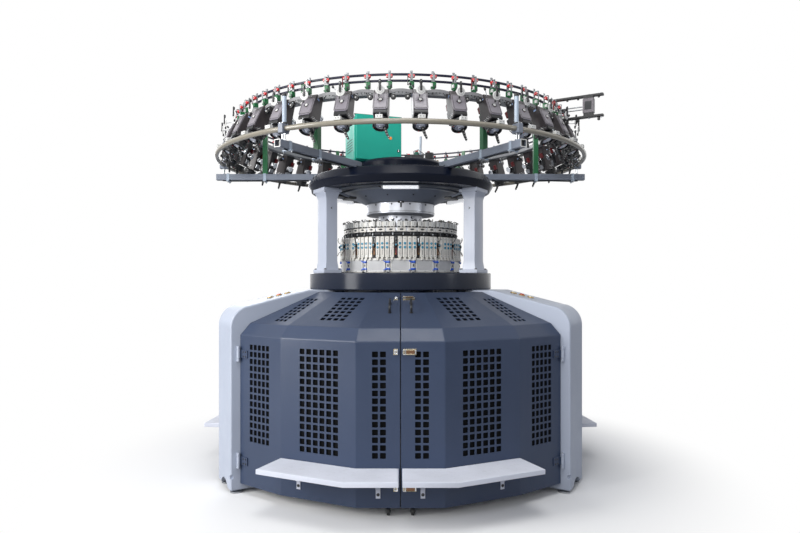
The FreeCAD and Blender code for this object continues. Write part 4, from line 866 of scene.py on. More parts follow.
def doors():
    lateral, reach, tilt = hinge_place()
    for name, sign in DOORS:
        body = f"door_{name}"
        bm = guard_shell([0, sign, 2 * sign], False, seam=SEAM * sign)
        cut_beside_leg(bm, 60 * sign, -sign, 6)
        outward(bm)
        sheet_object(f"{body}.sheet", bm, body, body)

        # return flanges along the seam and the foot, and ribs behind the corners
        trim = Kit(f"{body}.frame", body)
        inner = [(r - 5, z) for r, z in GUARD_LINE]
        for (r0, z0), (r1, z1) in zip(inner, inner[1:]):
            flange = [(r0, z0), (r1, z1), (r1 - 26, z1 - 4), (r0 - 26, z0)]
            trim.add("guard_paint", across(flange, *span(sign, SEAM, SEAM + 3)))
        for side in (0, sign, 2 * sign):
            left, right = flange_ends(side)
            if side == 0:
                left, right = (6.0, right) if sign > 0 else (left, -6.0)
            foot_flange(trim, side, left, right)
        for corner in (HALF, 3 * HALF):
            rib = box(-2, 2, -(END_REACH - 9), -(END_REACH - 34), 80, 996, 0.8)
            trim.add("guard_paint", rib, spin(corner * sign))
        points, faces = box(38, 102, -1183.5, -1108, 65, 69, 0.8)
        trim.add("guard_paint", (points * np.array([sign, 1, 1]), faces))

        # dark liner panels behind the openings, painted shade that stands for the dark inside of the base, and a dark
        # rubber seal along the seam that also paints the gap between the leaves in shade
        for side, *ends in ((0, 74, 168), (sign, 104 - HALF_SIDE, 384 - HALF_SIDE), (2 * sign, 92, 292)):
            angle, scale = side_frame(side)
            panel = box(*span(sign, *ends), -(FOOT * scale - 9), -(FOOT * scale - 12), 338, 952, 0.5)
            trim.add("screen", panel, spin(angle))
        for side, u0, u1, v0, v1 in ((sign, -118, 80, 70, 400), (2 * sign, 52, 178, 34, 380)):
            angle, scale = side_frame(side)
            trim.add("screen", box(*span(sign, u0, u1), v0, v1, -13, -10, 0.5), spin(angle), slope_frame(scale))
        seal = span(sign, 0.3, SEAM)
        trim.add("seal_rubber", box(*seal, -1184, -1160, 66, 1000, 0.5))
        trim.add("seal_rubber", across([(1126, 1076), (708, 1268.0), (690, 1262), (1112, 1062)], *seal, 0.3))

        # hinge barrels with their straps
        x = (reach * math.sin(tilt) - lateral * math.cos(tilt)) * sign
        out = END_REACH + HINGE_OUT
        put = trim.at(spin(END_ANGLE * sign))
        for level in HINGE_LEVELS:
            put("leg_paint", band(6.0, 11, -25, 25, 1.2, 2, 20), move(x, -out, level))
            strap = sorted((x - 70 * sign, x - 8 * sign))
            put("guard_paint", box(*strap, -(END_REACH + 7), -(END_REACH + 0.2), level - 25, level + 25, 1.5, 2))
            knuckle = sorted((x - 14 * sign, x - 4 * sign))
            put("guard_paint", box(*knuckle, -out + 2, -(END_REACH + 0.5), level - 24.5, level + 24.5, 1.5))
            for dx in (-56, -34):
                for dz in (-14, 14):
                    screw(trim, out_at(END_ANGLE * sign, END_REACH + 7, level + dz, x + dx * sign), 5, "bolt")
        trim.make()


def rear_guards():
    whole = bmesh.new()
    for bay in REAR_BAYS:
        bm = guard_shell([-2, -1, 0, 1, 2], True)
        cut_beside_leg(bm, 60, -1, 0)
        cut_beside_leg(bm, -60, 1, 0)
        outward(bm)
        mesh = bpy.data.meshes.new("bay")
        bm.to_mesh(mesh)
        bm.free()
        mesh.transform(spin(bay))
        whole.from_mesh(mesh)
        bpy.data.meshes.remove(mesh)
    sheet_object("rear_guards.sheet", whole, "machine", "rear_guards")
    trim = Kit("rear_guards.frame")
    for bay in REAR_BAYS:
        for side in (-2, -1, 0, 1, 2):
            angle, scale = side_frame(side)
            left, right = flange_ends(side)
            foot_flange(trim, side, left, right, bay)
            for z in (86, 986):
                for u in (left + 30, 300.0 if side == 2 else right - 30):
                    screw(trim, out_at(bay + angle, FOOT * scale, z, u), 6, "steel")
    trim.make()


def step_outline(sign):
    """Outline of a tread seen from above, as (x, y), from the seam out to the end of the second side."""
    def at(radius, angle):
        t = math.radians(angle)
        return Vector((radius * math.sin(t), -radius * math.cos(t)))
    outer = FOOT + STEP_DEPTH
    inner_bend, inner_end = at(END_REACH, HALF), at(END_REACH, 3 * HALF)
    outer_end = inner_end + at(STEP_DEPTH, SIDE)
    outer_bend = at(outer * CORNER_SCALE, HALF)
    points = [(10, -FOOT - 0.3), (10, -outer), outer_bend, outer_end, inner_end * 1.0003, inner_bend * 1.0003]
    points = [(x * sign, y) for x, y in points]
    return points if sign > 0 else points[::-1]


def shrunk(outline, distance):
    """Convex outline moved inwards."""
    count = len(outline)
    centre = Vector((sum(p[0] for p in outline) / count, sum(p[1] for p in outline) / count))
    lines = []
    for i in range(count):
        a, b = Vector(outline[i]), Vector(outline[(i + 1) % count])
        n = Vector((-(b - a).y, (b - a).x)).normalized()
        if n.dot(centre - a) < 0:
            n = -n
        lines.append((a + n * distance, b - a))
    out = []
    for i in range(count):
        (p, d), (q, e) = lines[i - 1], lines[i]
        cross = d.x * e.y - d.y * e.x
        t = ((q - p).x * e.y - (q - p).y * e.x) / cross
        out.append(tuple(p + d * t))
    return out


def step(kit, sign, turn=0.0):
    """Sheet-metal tread with a turned-down rim, its textured top and two brackets with braces."""
    outline = step_outline(sign)
    kit.add("step_paint", drawn(outline, 261, 289, 3.0, 2), spin(turn))
    kit.add("tread", drawn(shrunk(outline, 5), 288.2, 290, 0.8), spin(turn))
    x = HALF_SIDE / 2 * sign
    for side in (0, 1):
        put = kit.at(spin(turn), spin(SIDE * side * sign))
        wall = FOOT + 0.5
        cheek = [(wall, 261.5), (1276, 261.5), (1276, 254), (1200, 168), (wall, 168)]
        for dx in (-13, 9):
            put("step_paint", across(cheek, x + dx, x + dx + 4, 0.8))
        put("step_paint", box(x - 13, x + 13, -1193, -1188.4, 120, 261, 1.0))
        for z, radius, height, washer in ((142, 6.5, 5, True), (232, 5, 4, False)):
            bolt(kit, spin(turn) @ out_at(SIDE * side * sign, 1193, z, x), radius, height, washer)
    # the outer bracket has a thin diagonal brace
    brace = [(x + 16 * sign, -1196, 186), (x + 118 * sign, -1250, 263)]
    kit.add("step_paint", pipe(brace, 4.5, 10), spin(turn), spin(SIDE * sign))


def steps():
    for name, sign in DOORS:
        kit = Kit(f"door_step_{name}", f"door_{name}")
        step(kit, sign)
        kit.make(f"door_step_{name}")
    kit = Kit("rear_steps")
    for bay in REAR_BAYS:
        for sign in (1, -1):
            step(kit, sign, bay)
    kit.make("rear_steps")


def handles():
    for name, sign in DOORS:
        kit = Kit(f"door_handle_{name}", f"door_{name}")
        put = kit.at(slope_frame() @ move(65 * sign, 245, 0))
        half = [(-58, 2, 7), (-58, 28, 7), (-55, 34, 7), (-49, 37.8, 6.4), (-40, 38.5, 6.1)]
        path = half + [(0, 38.8, 6.1)] + [(-y, z, r) for y, z, r in half[::-1]]
        put("black_plastic", pipe([(0, y, z) for y, z, r in path], [r for y, z, r in path], 14))
        for y in (-58, 58):
            put("black_plastic", rod(10.5, 5, 18, 1.2), move(0, y, 0.3))
        kit.make(f"door_handle_{name}")


# Frames of the three latches, at the seam: local X runs across, Y up and Z out of the sheet
LATCHES = {"lower": move(0, -FOOT, 175) @ FORWARD, "middle": move(0, -FOOT, 945) @ FORWARD,
           "upper": slope_frame() @ move(0, 372, 0)}


def latch_plate():
    """Plate of a latch lever, with its long opening."""
    rim = [(82, -13), (89, -7), (89, 7), (82, 13), (15, 13), (15, -13)]
    hole = [(30, -5), (30, 5), (68, 5), (68, -5)]
    points, faces = pierced(rim, [eased(hole, 4.5, 3, True)])
    bm = bmesh.new()
    low = [bm.verts.new((x, y, 6.2)) for x, y in points]
    for f in faces:
        bm.faces.new([low[i] for i in f])
    raised(bm, bm.faces[:], 2.6)
    return from_mesh(bm)


def latches():
    bases = Kit("latch_bases", "door_right")
    keepers = Kit("latch_keepers", "door_left")
    for name, place in LATCHES.items():
        put = bases.at(place)
        put("latch_metal", box(14, 90, -17, 17, 0.2, 2.4, 0.8))
        for y in (-15.6, 13.2):
            put("latch_metal", box(15, 34, y, y + 2.4, 1.0, 5.0, 0.6))
        for x in (44, 82):
            screw(bases, place @ move(x, 0, 2.2), 3.4, "latch_metal")
        put = keepers.at(place)
        put("latch_metal", box(-40, -14, -17, 17, 0.2, 3.0, 0.8))
        turns = [math.radians(30 * n) for n in range(12)]
        put("chrome", pipe([(-27 + 9 * math.cos(t), 11 * math.sin(t), 7) for t in turns], 2.4, 8, True))
        put("chrome", pipe([(-27, -11, 3), (-30, 0, 9), (-27, 11, 3)], 2.2, 8))
        put("chrome", box(-19, -14.2, -12.8, 12.8, 2.0, 14.8, 1.8, 2))
        for y in (-12, 12):
            screw(keepers, place @ move(-33, y, 2.8), 2.8, "latch_metal")
        lever = Kit(f"latch_{name}.lever", f"latch_{name}")
        put = lever.at(place)
        put("latch_metal", latch_plate())
        for y in (-13, 10.6):
            put("latch_metal", box(15.5, 80, y, y + 2.4, 6.4, 12.6, 0.8))
        put("latch_metal", pipe([(84, -5, 9), (89, 0, 10.5), (84, 5, 9)], 1.8, 8))
        put("latch_metal", pipe([(22, -14.6, 9.4), (22, 14.6, 9.4)], 2.6, 10))
        # the loop ends beside the hinge line, so that it clears the sheet when the lever lies over
        wire = [(34, -13, 11.5), (20, -13, 12), (15.6, -12, 12), (14, -8, 12)]
        put("chrome", pipe(wire + [(x, -y, z) for x, y, z in wire[::-1]], 1.9, 8))
        put("chrome", pipe([(27, -13, 12), (27, 13, 12)], 2.4, 8))
        put("chrome", box(82, 88.6, -12, 12, 8.4, 11.6, 1.2))
        put("bronze", box(33, 80, -9.5, 9.5, 8.6, 9.8, 0.6))
        lever.make(f"latch_{name}")
    bases.make("latch_bases")
    keepers.make("latch_keepers")


def casters():
    for name, sign in DOORS:
        fork = Kit(f"caster_fork_{name}", f"caster_fork_{name}")
        x, y, z = 70.0 * sign, -1126.0, 25.0
        cheek = [(-y - 10, z - 8), (-y + 8, z - 10), (-y + 11, z + 2), (-y + 16, 58), (-y + 20, 64), (-y - 12, 64),
                 (-y - 12, 40)]
        for side in (-1, 1):
            a, b = span(side, 11.2, 13.8)
            fork.add("black_plastic", across(cheek, x + a, x + b, 0.6))
            aside = Vector((side, 0, 0)).to_track_quat("Z", "Y").to_matrix().to_4x4()
            fork.add("steel", hexagon(5.5, 3), move(x + side * 13.6, y, z), aside)
        fork.add("black_plastic", box(x - 13.8, x + 13.8, y - 29.5, y + 9.8, 60.2, 64.3, 1.0))
        fork.add("steel", rod(4, 26, 12, 0.5), move(x - 13, y, z), SIDEWAYS)
        fork.make(f"caster_fork_{name}")
        wheel = Kit(f"caster_wheel_{name}", f"caster_wheel_{name}")
        put = wheel.at(move(x, y, z), SIDEWAYS)
        put("caster_rubber", hoop([(15, -9.6), (21, -9.6), (24, -6), (24, 6), (21, 9.6), (15, 9.6)], 2.2, 2, 40))
        hub = [(4.8, -9.8), (8, -9.8), (8.6, -6.5), (14.6, -5.8), (15.4, -8.8)]
        put("silver", hoop(hub + [(r, -h) for r, h in hub[::-1]], 0.5, 1, 32))
        wheel.make(f"caster_wheel_{name}")


def circle_arc(a, b, c, steps):
    """Points of the circle through a, b and c, from a to c."""
    (ax, ay), (bx, by), (cx, cy) = a, b, c
    d = 2 * (ax * (by - cy) + bx * (cy - ay) + cx * (ay - by))
    sa, sb, sc = ax * ax + ay * ay, bx * bx + by * by, cx * cx + cy * cy
    ux = (sa * (by - cy) + sb * (cy - ay) + sc * (ay - by)) / d
    uy = (sa * (cx - bx) + sb * (ax - cx) + sc * (bx - ax)) / d
    radius = math.hypot(ax - ux, ay - uy)
    start, end = math.atan2(ay - uy, ax - ux), math.atan2(cy - uy, cx - ux)
    return [(ux + radius * math.cos(start + (end - start) * k / steps),
             uy + radius * math.sin(start + (end - start) * k / steps)) for k in range(steps + 1)]


def cut_from(solid, cutters):
    """Exact boolean difference of (points, faces) shapes."""
    def temporary(shape):
        mesh = bpy.data.meshes.new("temporary")
        mesh.from_pydata(shape[0].tolist(), [], shape[1])
        facing_out(mesh)
        return in_scene("temporary", mesh)
    base = temporary(solid)
    tools = [temporary(c) for c in cutters]
    for tool in tools:
        cut = base.modifiers.new("cut", "BOOLEAN")
        cut.operation = "DIFFERENCE"
        cut.solver = "EXACT"
        cut.object = tool
    bpy.context.view_layer.update()
    done = bpy.data.meshes.new_from_object(base.evaluated_get(bpy.context.evaluated_depsgraph_get()))
    bm = bmesh.new()
    bm.from_mesh(done)
    bmesh.ops.remove_doubles(bm, verts=bm.verts, dist=0.02)
    result = from_mesh(bm)
    for o in [base] + tools:
        mesh = o.data
        bpy.data.objects.remove(o)
        bpy.data.meshes.remove(mesh)
    bpy.data.meshes.remove(done)
    return result


BUTTONS = (("upper", 308, "button_white"), ("middle", 248, "button_red"), ("lower", 188, "button_white"))


def button_place(inset):
    """Frame on the sloping top of a leg at the front: local Z points out of it."""
    fall, run = 95, 400
    return leaning((0, inset - 1200, 1185 + inset * fall / run), (0, -fall, run))


def legs():
    arc = circle_arc((1200, 1185), (1299, 1123), (1320, 1047), 16)
    outline = [(600, 1280), (800, 1280)] + arc + [(1320, 20), (1000, 20), (1000, 880), (600, 1170)]
    outer = across(outline, -LEG_HALF, LEG_HALF, 11, 3)
    inside = LEG_HALF - 18
    pocket = across([(985, 38), (1302, 38), (1302, 1029), (1182, 1131), (800, 1208), (800, 872), (985, 872)],
                    -inside, inside)
    arch = placed(lathe([(0, 0), (97, 0), (97, 190), (0, 190)], 36), move(0, -1150, -27.5), FORWARD)
    notches = [box(s * LEG_HALF - 16, s * LEG_HALF + 16, -1335, -1302, 96, 122, 0.0) for s in (-1, 1)]
    wells = [placed(rod(16.5, 40, 24, 0.2), button_place(inset) @ move(0, 0, -14)) for _, inset, _ in BUTTONS]
    plain = cut_from(outer, [pocket, arch] + notches)
    drilled = cut_from(outer, [pocket, arch] + notches + wells)
    kit = Kit("legs")
    kit.every("leg_paint", drilled, (-60, 60))
    kit.add("leg_paint", plain, spin(180))
    lateral, reach, _ = hinge_place()
    for angle, side in ((-60, 1), (60, -1)):
        put = kit.at(spin(angle))
        arm = span(side, LEG_HALF, lateral + 2)
        for level in HINGE_LEVELS:
            for z in (level - 37, level + 37):
                put("leg_paint", box(*arm, -(reach + 8.6), -(reach - 8.6), z - 10.8, z + 10.8, 1.5, 2))
                put("leg_paint", disc(8.8, -10.8, 10.8, 1.2, 2, 20), move(side * lateral, -reach, z))
            put("steel", rod(4.8, 100, 14, 1.2), move(side * lateral, -reach, level - 50))
    kit.make("legs")

    feet = Kit("levelling_feet")
    pad = turned([(0, 0), (42, 0), (42, 9), (30, 15), (15, 15.5), (15, 20), (0, 20)], 1.5, 2, 36)
    hole = placed(lathe([(0, -5), (11, -5), (11, 30), (0, 30)], 32), move(0, -950, 0))
    plate = cut_from(box(-80, 80, -1100, -900, 0, 19.8, 2.0, 1), [hole])
    for angle in LEG_ANGLES:
        for x in (-108, 108):
            feet.add("steel", pad, spin(angle), move(x, -1268, 0))
        feet.add("steel", plate, spin(angle))
    feet.make("levelling_feet")


def push_buttons():
    cap = turned([(0, -9), (15, -9), (15, 8.5), (12.6, 12), (0, 12)], 1.2, 2, 28)
    collar = hoop([(16.8, 0.2), (23, 0.2), (23, 3.2), (20.5, 6.4), (16.8, 6.4)], 0.9, 2, 32)
    for side, angle in (("left", -60), ("right", 60)):
        collars = Kit(f"button_collars_{side}")
        for name, inset, look in BUTTONS:
            node = f"button_{side}_{name}"
            single(node, look, cap, [angle], [button_place(inset)], node)
            collars.add("brass", collar, spin(angle), button_place(inset))
        collars.make()


doors()
rear_guards()
steps()
handles()
latches()
casters()
legs()
push_buttons()


# ---------------------------------------------------------------------------------------------
# Bed, columns, crown and the work lamps
# ---------------------------------------------------------------------------------------------

BED_TOP, CROWN_LOW, CROWN_TOP, BOSS_TOP = 1397, 1990, 2098, 2217     # levels
LAMP_ANGLES = (0, 120, -120)


def bed_and_crown():
    profile = [(676, 1280), (676, BED_TOP), (392, BED_TOP), (392, 1375), (650, 1375), (650, 1280)]
    single("bed_plate", "bed_paint", hoop(profile, 9, 4, 192), sharp=40)
    rim = Kit("bed_rim")
    # dark disc inside the bed's skirt: painted shade of the gap under the bed
    rim.add("inside_dark", lathe([(648, 1281), (648, 1290), (420, 1290), (420, 1281)], 96, closed=True))
    rim.every("bolt", hexagon(9, 7), ring(24, 7.5), move(0, -640, BED_TOP))
    rim.make()

    profile = [(0, CROWN_LOW), (664, CROWN_LOW), (692, 2037), (655, CROWN_TOP), (332, CROWN_TOP), (332, 2199),
               (314, BOSS_TOP), (0, BOSS_TOP)]
    single("crown_plate", "navy_paint", turned(profile, 7, 3, 192), sharp=40)
    top = Kit("crown_top")
    top.add("navy_paint", hoop([(646, 2097), (646, 2103), (628, 2103), (628, 2097)], 2, 2, 144))
    top.every("bolt", hexagon(9, 8), ring(18, 10), move(0, -600, CROWN_TOP))
    top.every("steel", rod(5, 5, 12, 1), ring(12, 15), move(0, -290, 2216))
    top.make()

    profile = [(0, 1911), (262, 1911), (410, 1979), (429, 1981), (430, CROWN_LOW), (0, CROWN_LOW)]
    single("gear_housing", "housing_paint", turned(profile, 5, 2, 144), sharp=40)
    rims = Kit("gear_housing.trim")
    rims.add("arm_paint", hoop([(444, 1989.5), (444, 1979), (424, 1979), (424, 1989.5)], 2, 2, 144))
    rims.every("bolt", hexagon(6, 5), ring(12, 15), move(0, -350, 1949), about("X", 155))
    rims.add("dark_paint", hoop([(560, CROWN_LOW), (560, 1980), (470, 1984), (470, CROWN_LOW)], 2, 2, 144))
    rims.make()

    profile = [(43, 1712), (162, 1712), (162, 1826), (255, 1826), (255, 1911), (43, 1911)]
    single("dial_height_adjuster", "brushed_metal", hoop(profile, 9, 4, 144), sharp=40)
    marks = Kit("hub_marks")
    # thin dark discs that stand for the hub's holes: painted shade
    hole = rod(6.5, 1.6, 14, 0.4)
    marks.every("inside_dark", hole, ring(12, -14.5), move(0, -254.3, 1893), FORWARD)
    marks.every("inside_dark", hole, ring(9, -10), move(0, -161.2, 1806), FORWARD)
    marks.add("steel", hoop([(257, 1840), (257, 1846), (250, 1846), (250, 1840)], 1, 1, 96))
    for put in marks.around((1, 121, 241)):
        put("black_plastic", box(-25, 22, -266, -250, 1899, 1911, 3, 2))
        put("black_plastic", box(-8, 5, -264, -250, 1868, 1900, 2.5, 2))
        put("black_plastic", rod(4, 8, 10), move(-2, -262, 1866))
        put("chrome", knob(5, 4), move(-2, -266, 1905), FORWARD)
    marks.make()

    single("work_lamps", "lamp_white", box(-118, 129, -542, -506, 1960.5, 1985, 5, 3), LAMP_ANGLES)
    holders = Kit("lamp_holders")
    for put in holders.around(LAMP_ANGLES):
        put("bracket_metal", box(-119, 129, -543, -501, 1984, 1989.8, 1.2))
        put("bracket_metal", box(119, 128.9, -543.5, -502, 1960.2, 1988, 2.0))
        put("bracket_metal", disc(13, -129, -112, 2.5, 2, 24), move(0, -523, 1974.5), SIDEWAYS)
        for x in (-60, 66):
            put("bolt", rod(3.5, 3, 10), move(x, -530, 1958.4))
        path = [(-116, -523, 1975), (-132, -523, 1972), (-144, -520, 1978), (-150, -514, CROWN_LOW)]
        put("black_plastic", pipe(path, 5, 12))
    holders.make()


def column_details():
    soften("columns", 6, "column_paint", segments=3)
    kit = Kit("column_fittings")
    for put in kit.around(LEG_ANGLES):
        for x in (-86, 86):
            for reach in (542, 650):
                put("bolt", hexagon(8, 8), move(x, -reach, 1421))
                put("bolt", rod(11, 3, 16, 0.6), move(x, -reach, 1420.6))
                put("bolt", hexagon(7, 7), move(x, -reach, 1957))
        # small arrow marks on the inner faces
        for side in (-1, 1):
            for dz in (-1, 1):
                put("inside_dark", box(side * 76.2, side * 77, -604, -588, 1848, 1851.5, 0.3),
                    move(0, -596, 1850), about("X", 35 * dz), move(0, 596, -1850 + 4 * dz))
        # slanting struts from the head in towards the gear housing
        for side in (-1, 1):
            put("arm_paint", pipe([(side * 60, -540, 1966), (side * 44, -470, 1948), (side * 40, -400, 1934)], 9, 12))
        put("black_plastic", box(-62, 62, -452, -396, 1925, 1943, 4, 2))
        put("black_plastic", box(-26, 26, -520, -452, 1940, 1958, 4, 2))
    kit.make()


# ---------------------------------------------------------------------------------------------
# Knitting head
# ---------------------------------------------------------------------------------------------

CAM_OUT = 451                                   # reach of the cam boxes
CAM_GAP_ANGLE = math.degrees(22 / CAM_OUT)      # between two groups of four
CAM_PITCH = (20 - CAM_GAP_ANGLE) / 4


def cam_ring():
    angles = [start + CAM_GAP_ANGLE / 2 + CAM_PITCH * (k + 0.5) - 10 for start in ring(18, 6) for k in range(4)]
    width = CAM_PITCH - math.degrees(4.4 / CAM_OUT)
    single("cam_boxes", "cam_white", sector(391, CAM_OUT, width, 1502, 1645, 2.6, 2), angles)
    trim = Kit("cam_fittings")
    dot = knob(8.6, 5.5, 12)
    tail = drawn([(-8, 0), (8, 0), (0, -13)], 0, 3.5, 0.8)
    for i, angle in enumerate(angles):
        put = trim.at(spin(angle))
        put("cam_white", box(-8, 8, -455, -441, 1484, 1504, 2.0, 1))
        put("cam_white", box(-12.5, 12.5, -447, -428, 1644, 1648, 1.2))
        for z in (1600, 1573):
            look = "cam_white" if (i * 7 + z) % 9 == 0 else "teal"
            for shape in (dot, tail):
                trim.add(look, shape, out_at(angle, 450.2, z))
        put("inside_dark", box(-1.4, 1.4, -451.9, -450.2, 1520, 1556, 0.3))
        # dark strips at the joints between the cams of a group: painted shade of the gaps
        if i % 4 < 3:
            trim.add("inside_dark", box(-1.9, 1.9, -448.6, -430, 1506, 1644, 0.3), spin(angle + CAM_PITCH / 2))
        for z in (1631, 1511):
            trim.add("steel", rod(3.6, 2.0, 10, 0.5), out_at(angle, 450.2, z))
    trim.make()
    gaps = Kit("cam_spacers")
    for k, angle in enumerate(ring(18, -4)):
        put = gaps.at(spin(angle))
        put("dark_red" if k % 3 == 0 else "brown", box(-6.5, 6.5, -446, -424, 1520, 1568, 1.5))
        # dark block in the gap between two groups of cams: painted shade
        put("inside_dark", box(-9.0, 9.0, -432, -396, 1500, 1646, 1.0))
        put("black_plastic", box(-8.5, 8.5, -462, -432, 1578, 1600, 3, 2))
        put("chrome", rod(3, 32, 10), move(0, -440, 1606))
        put("black_plastic", pipe([(0, -446, 1612), (3, -462, 1622), (5, -470, 1640), (2, -466, 1656)], 2.2, 8))
        gaps.add("teal", knob(6, 5), out_at(angle + 0.2, 460, 1589))
        put("black_plastic", pipe([(-3, -448, 1560), (-6, -464, 1546), (-4, -472, 1528)], 2.4, 8))
        gaps.add("brass", knob(3.4, 4), out_at(angle - 0.5, 470, 1527))
    gaps.make()


def lower_ring():
    profile = [(386, BED_TOP), (437, BED_TOP), (437, 1404), (431, 1406), (431, 1488), (438, 1491), (438, 1498),
               (386, 1498)]
    single("base_ring", "cam_white", hoop(profile, 1.5, 2, 128), sharp=40)
    frames = Kit("window_frames")
    windows = 16
    half = 432 * math.sin(math.radians(180 / windows)) - 17
    single("window_covers", "clear_cover", box(-half + 7, half - 7, -440.5, -434, 1411, 1484, 1.5), ring(windows))
    for angle in ring(windows):
        put = frames.at(spin(angle))
        for z0, z1 in ((1403.4, 1413), (1482, 1491.6)):
            put("white_plastic", box(-half, half, -442, -432.5, z0, z1, 1.6, 2))
        for x0 in (-half, half - 8):
            put("white_plastic", box(x0, x0 + 8, -442, -432.5, 1403.4, 1491.6, 1.6, 2))
        put("steel", box(-half + 12, half - 12, -433.6, -432.2, 1436, 1444, 0.5))
        for z in (1487, 1408):
            frames.add("steel", knob(3.4, 2), out_at(angle, 441.4, z))
        joint = angle + 180 / windows
        put = frames.at(spin(joint))
        put("white_plastic", box(-11, 11, -446, -430, 1400, 1497, 2.4, 2))
        for z, way in ((1472, 1), (1424, -1)):
            put("royal_blue", box(-17, 17, -452, -441, z - 7, z + 7, 3.0, 2))
            frames.add("royal_blue", knob(8, 8, 14), out_at(joint + 0.9 * way, 450, z))
            put("royal_blue", pipe([(-16, -449, z), (-30, -449, z + 9 * way)], 3.4, 8))
        put("black_plastic", box(-4, 4, -450, -444, 1440, 1456, 1.2))
    frames.make()


def dial_ring():
    profile = [(46, 1680), (409, 1680), (415, 1688), (415, 1712), (46, 1712)]
    single("dial_cam_plate", "brushed_metal", hoop(profile, 2, 2, 128), sharp=40)
    cap = sector(302, 421, 20 - math.degrees(18 / 421), 1712.2, 1752, 3, 5)
    single("dial_cam_caps", "cam_white", cap, ring(18, 6))
    trim = Kit("dial_fittings")
    for k, angle in enumerate(ring(54, 6)):
        put = trim.at(spin(angle))
        put("white_plastic", box(-17.5, 17.5, -425, -405, 1718, 1755, 2.0, 1))
        put("chrome", knob(5.5, 3.5, 10), move(0, -392, 1752))
        # dark strip between two caps: painted shade of the gap
        trim.add("inside_dark", box(-1.6, 1.6, -425.6, -424, 1724, 1748, 0.3), spin(angle + 0.9))
        lean = 9 if k % 2 else -7
        path = [(0, -414, 1750), (lean * 0.4, -418, 1762), (lean, -426, 1768), (lean * 1.6, -434, 1764)]
        put("black_plastic", pipe(path, [3.2, 2.6, 2.4, 3.4], 8))
        if k % 3 == 0:
            put("black_plastic", box(-11, 11, -404, -372, 1751, 1766, 2.4, 2))
            put("brass", knob(4, 5, 10), move(0, -388, 1765))
        if k % 3 == 1:
            put("steel", rod(3, 24, 10), move(0, -372, 1751))
            put("black_plastic", knob(5.5, 7, 12), move(0, -372, 1770))
    # uneven dark rows below and behind the caps: painted shade
    for k, put in enumerate(trim.around(ring(108, 2))):
        low, high = (k * 5) % 7, (k * 11) % 13
        put("inside_dark", box(-6 - low % 4, 7 + low % 3, -425.8, -414, 1711.5, 1716 + low * 0.7, 1.2))
        if k % 4 != 2:
            put("inside_dark", box(-5 - high % 5, 6 + high % 4, -412 + high, -398 + high, 1752, 1757 + high, 1.6))
    for angle in ring(36, 1):
        put = trim.at(spin(angle))
        put("cam_white", sector(412, 423, 8.6, 1682, 1710, 2.0, 3))
        oval = placed(disc(8, 0, 2.2, 0.8, 1, 18), Matrix.Diagonal((1.7, 0.75, 1, 1)))
        trim.add("inside_dark", oval, out_at(angle, 422.2, 1697))
        trim.add("steel", knob(3, 2, 10), out_at(angle + 4.3, 420, 1697))
        # yarn guides that lead down to the needles
        path = [(4, -418, 1684), (6, -428, 1672), (2, -424, 1660), (-3, -408, 1655)]
        put("inside_dark", pipe(path, [2.6, 2.6, 2.2, 1.5], 8))
        put("black_plastic", box(-13, -2, -424, -404, 1662, 1679, 2.0, 1))
        put("steel", box(8, 15, -420, -402, 1658, 1676, 1.2))
    # dark ring below the dial plate's edge, above the needles: painted shade
    trim.add("inside_dark", hoop([(404, 1655), (410, 1668), (404, 1680), (380, 1680), (380, 1655)], 1.5, 1, 120))
    trim.make()
    needles = Kit("needles", "cylinder")
    needles.every("steel", box(-0.9, 0.9, -382.5, -379.5, 1636, 1652, 0.3), ring(360, 0.5))
    needles.make()
    soften("needle_cylinder", 1, "steel")


bed_and_crown()
column_details()
cam_ring()
lower_ring()
dial_ring()


# ---------------------------------------------------------------------------------------------
# Arms, rings, posts, cabinet and tension device
# ---------------------------------------------------------------------------------------------

ARM_ANGLES = (-150, -90, -30, 30, 90, 150)
FEEDER_ANGLES = ring(36, 5)
TUBE_REACH, TUBE_LEVEL = 1332, 2212
POST_REACH = 1324
CARRIER = 1150                                  # outer reach of the carrier ring


def square_tube(half, wall, start, end, level):
    """Hollow square bar along the front direction between two reaches."""
    ease = 5.0
    loops = []
    for h, e in ((half, ease), (half - wall, max(ease - wall, 1.0))):
        loops.append(eased([(-h, -h), (h, -h), (h, h), (-h, h)], e, 3, True))
    count = len(loops[0])
    points = [(x, -reach, level + z) for reach in (start, end) for loop in loops for x, z in loop]
    outer0, inner0, outer1, inner1 = (range(k * count, (k + 1) * count) for k in range(4))
    faces = []
    for k in range(count):
        j = (k + 1) % count
        faces += [(outer0[k], outer0[j], outer1[j], outer1[k]), (inner0[j], inner0[k], inner1[k], inner1[j]),
                  (outer0[j], outer0[k], inner0[k], inner0[j]), (outer1[k], outer1[j], inner1[j], inner1[k])]
    return np.array(points, dtype=float), faces


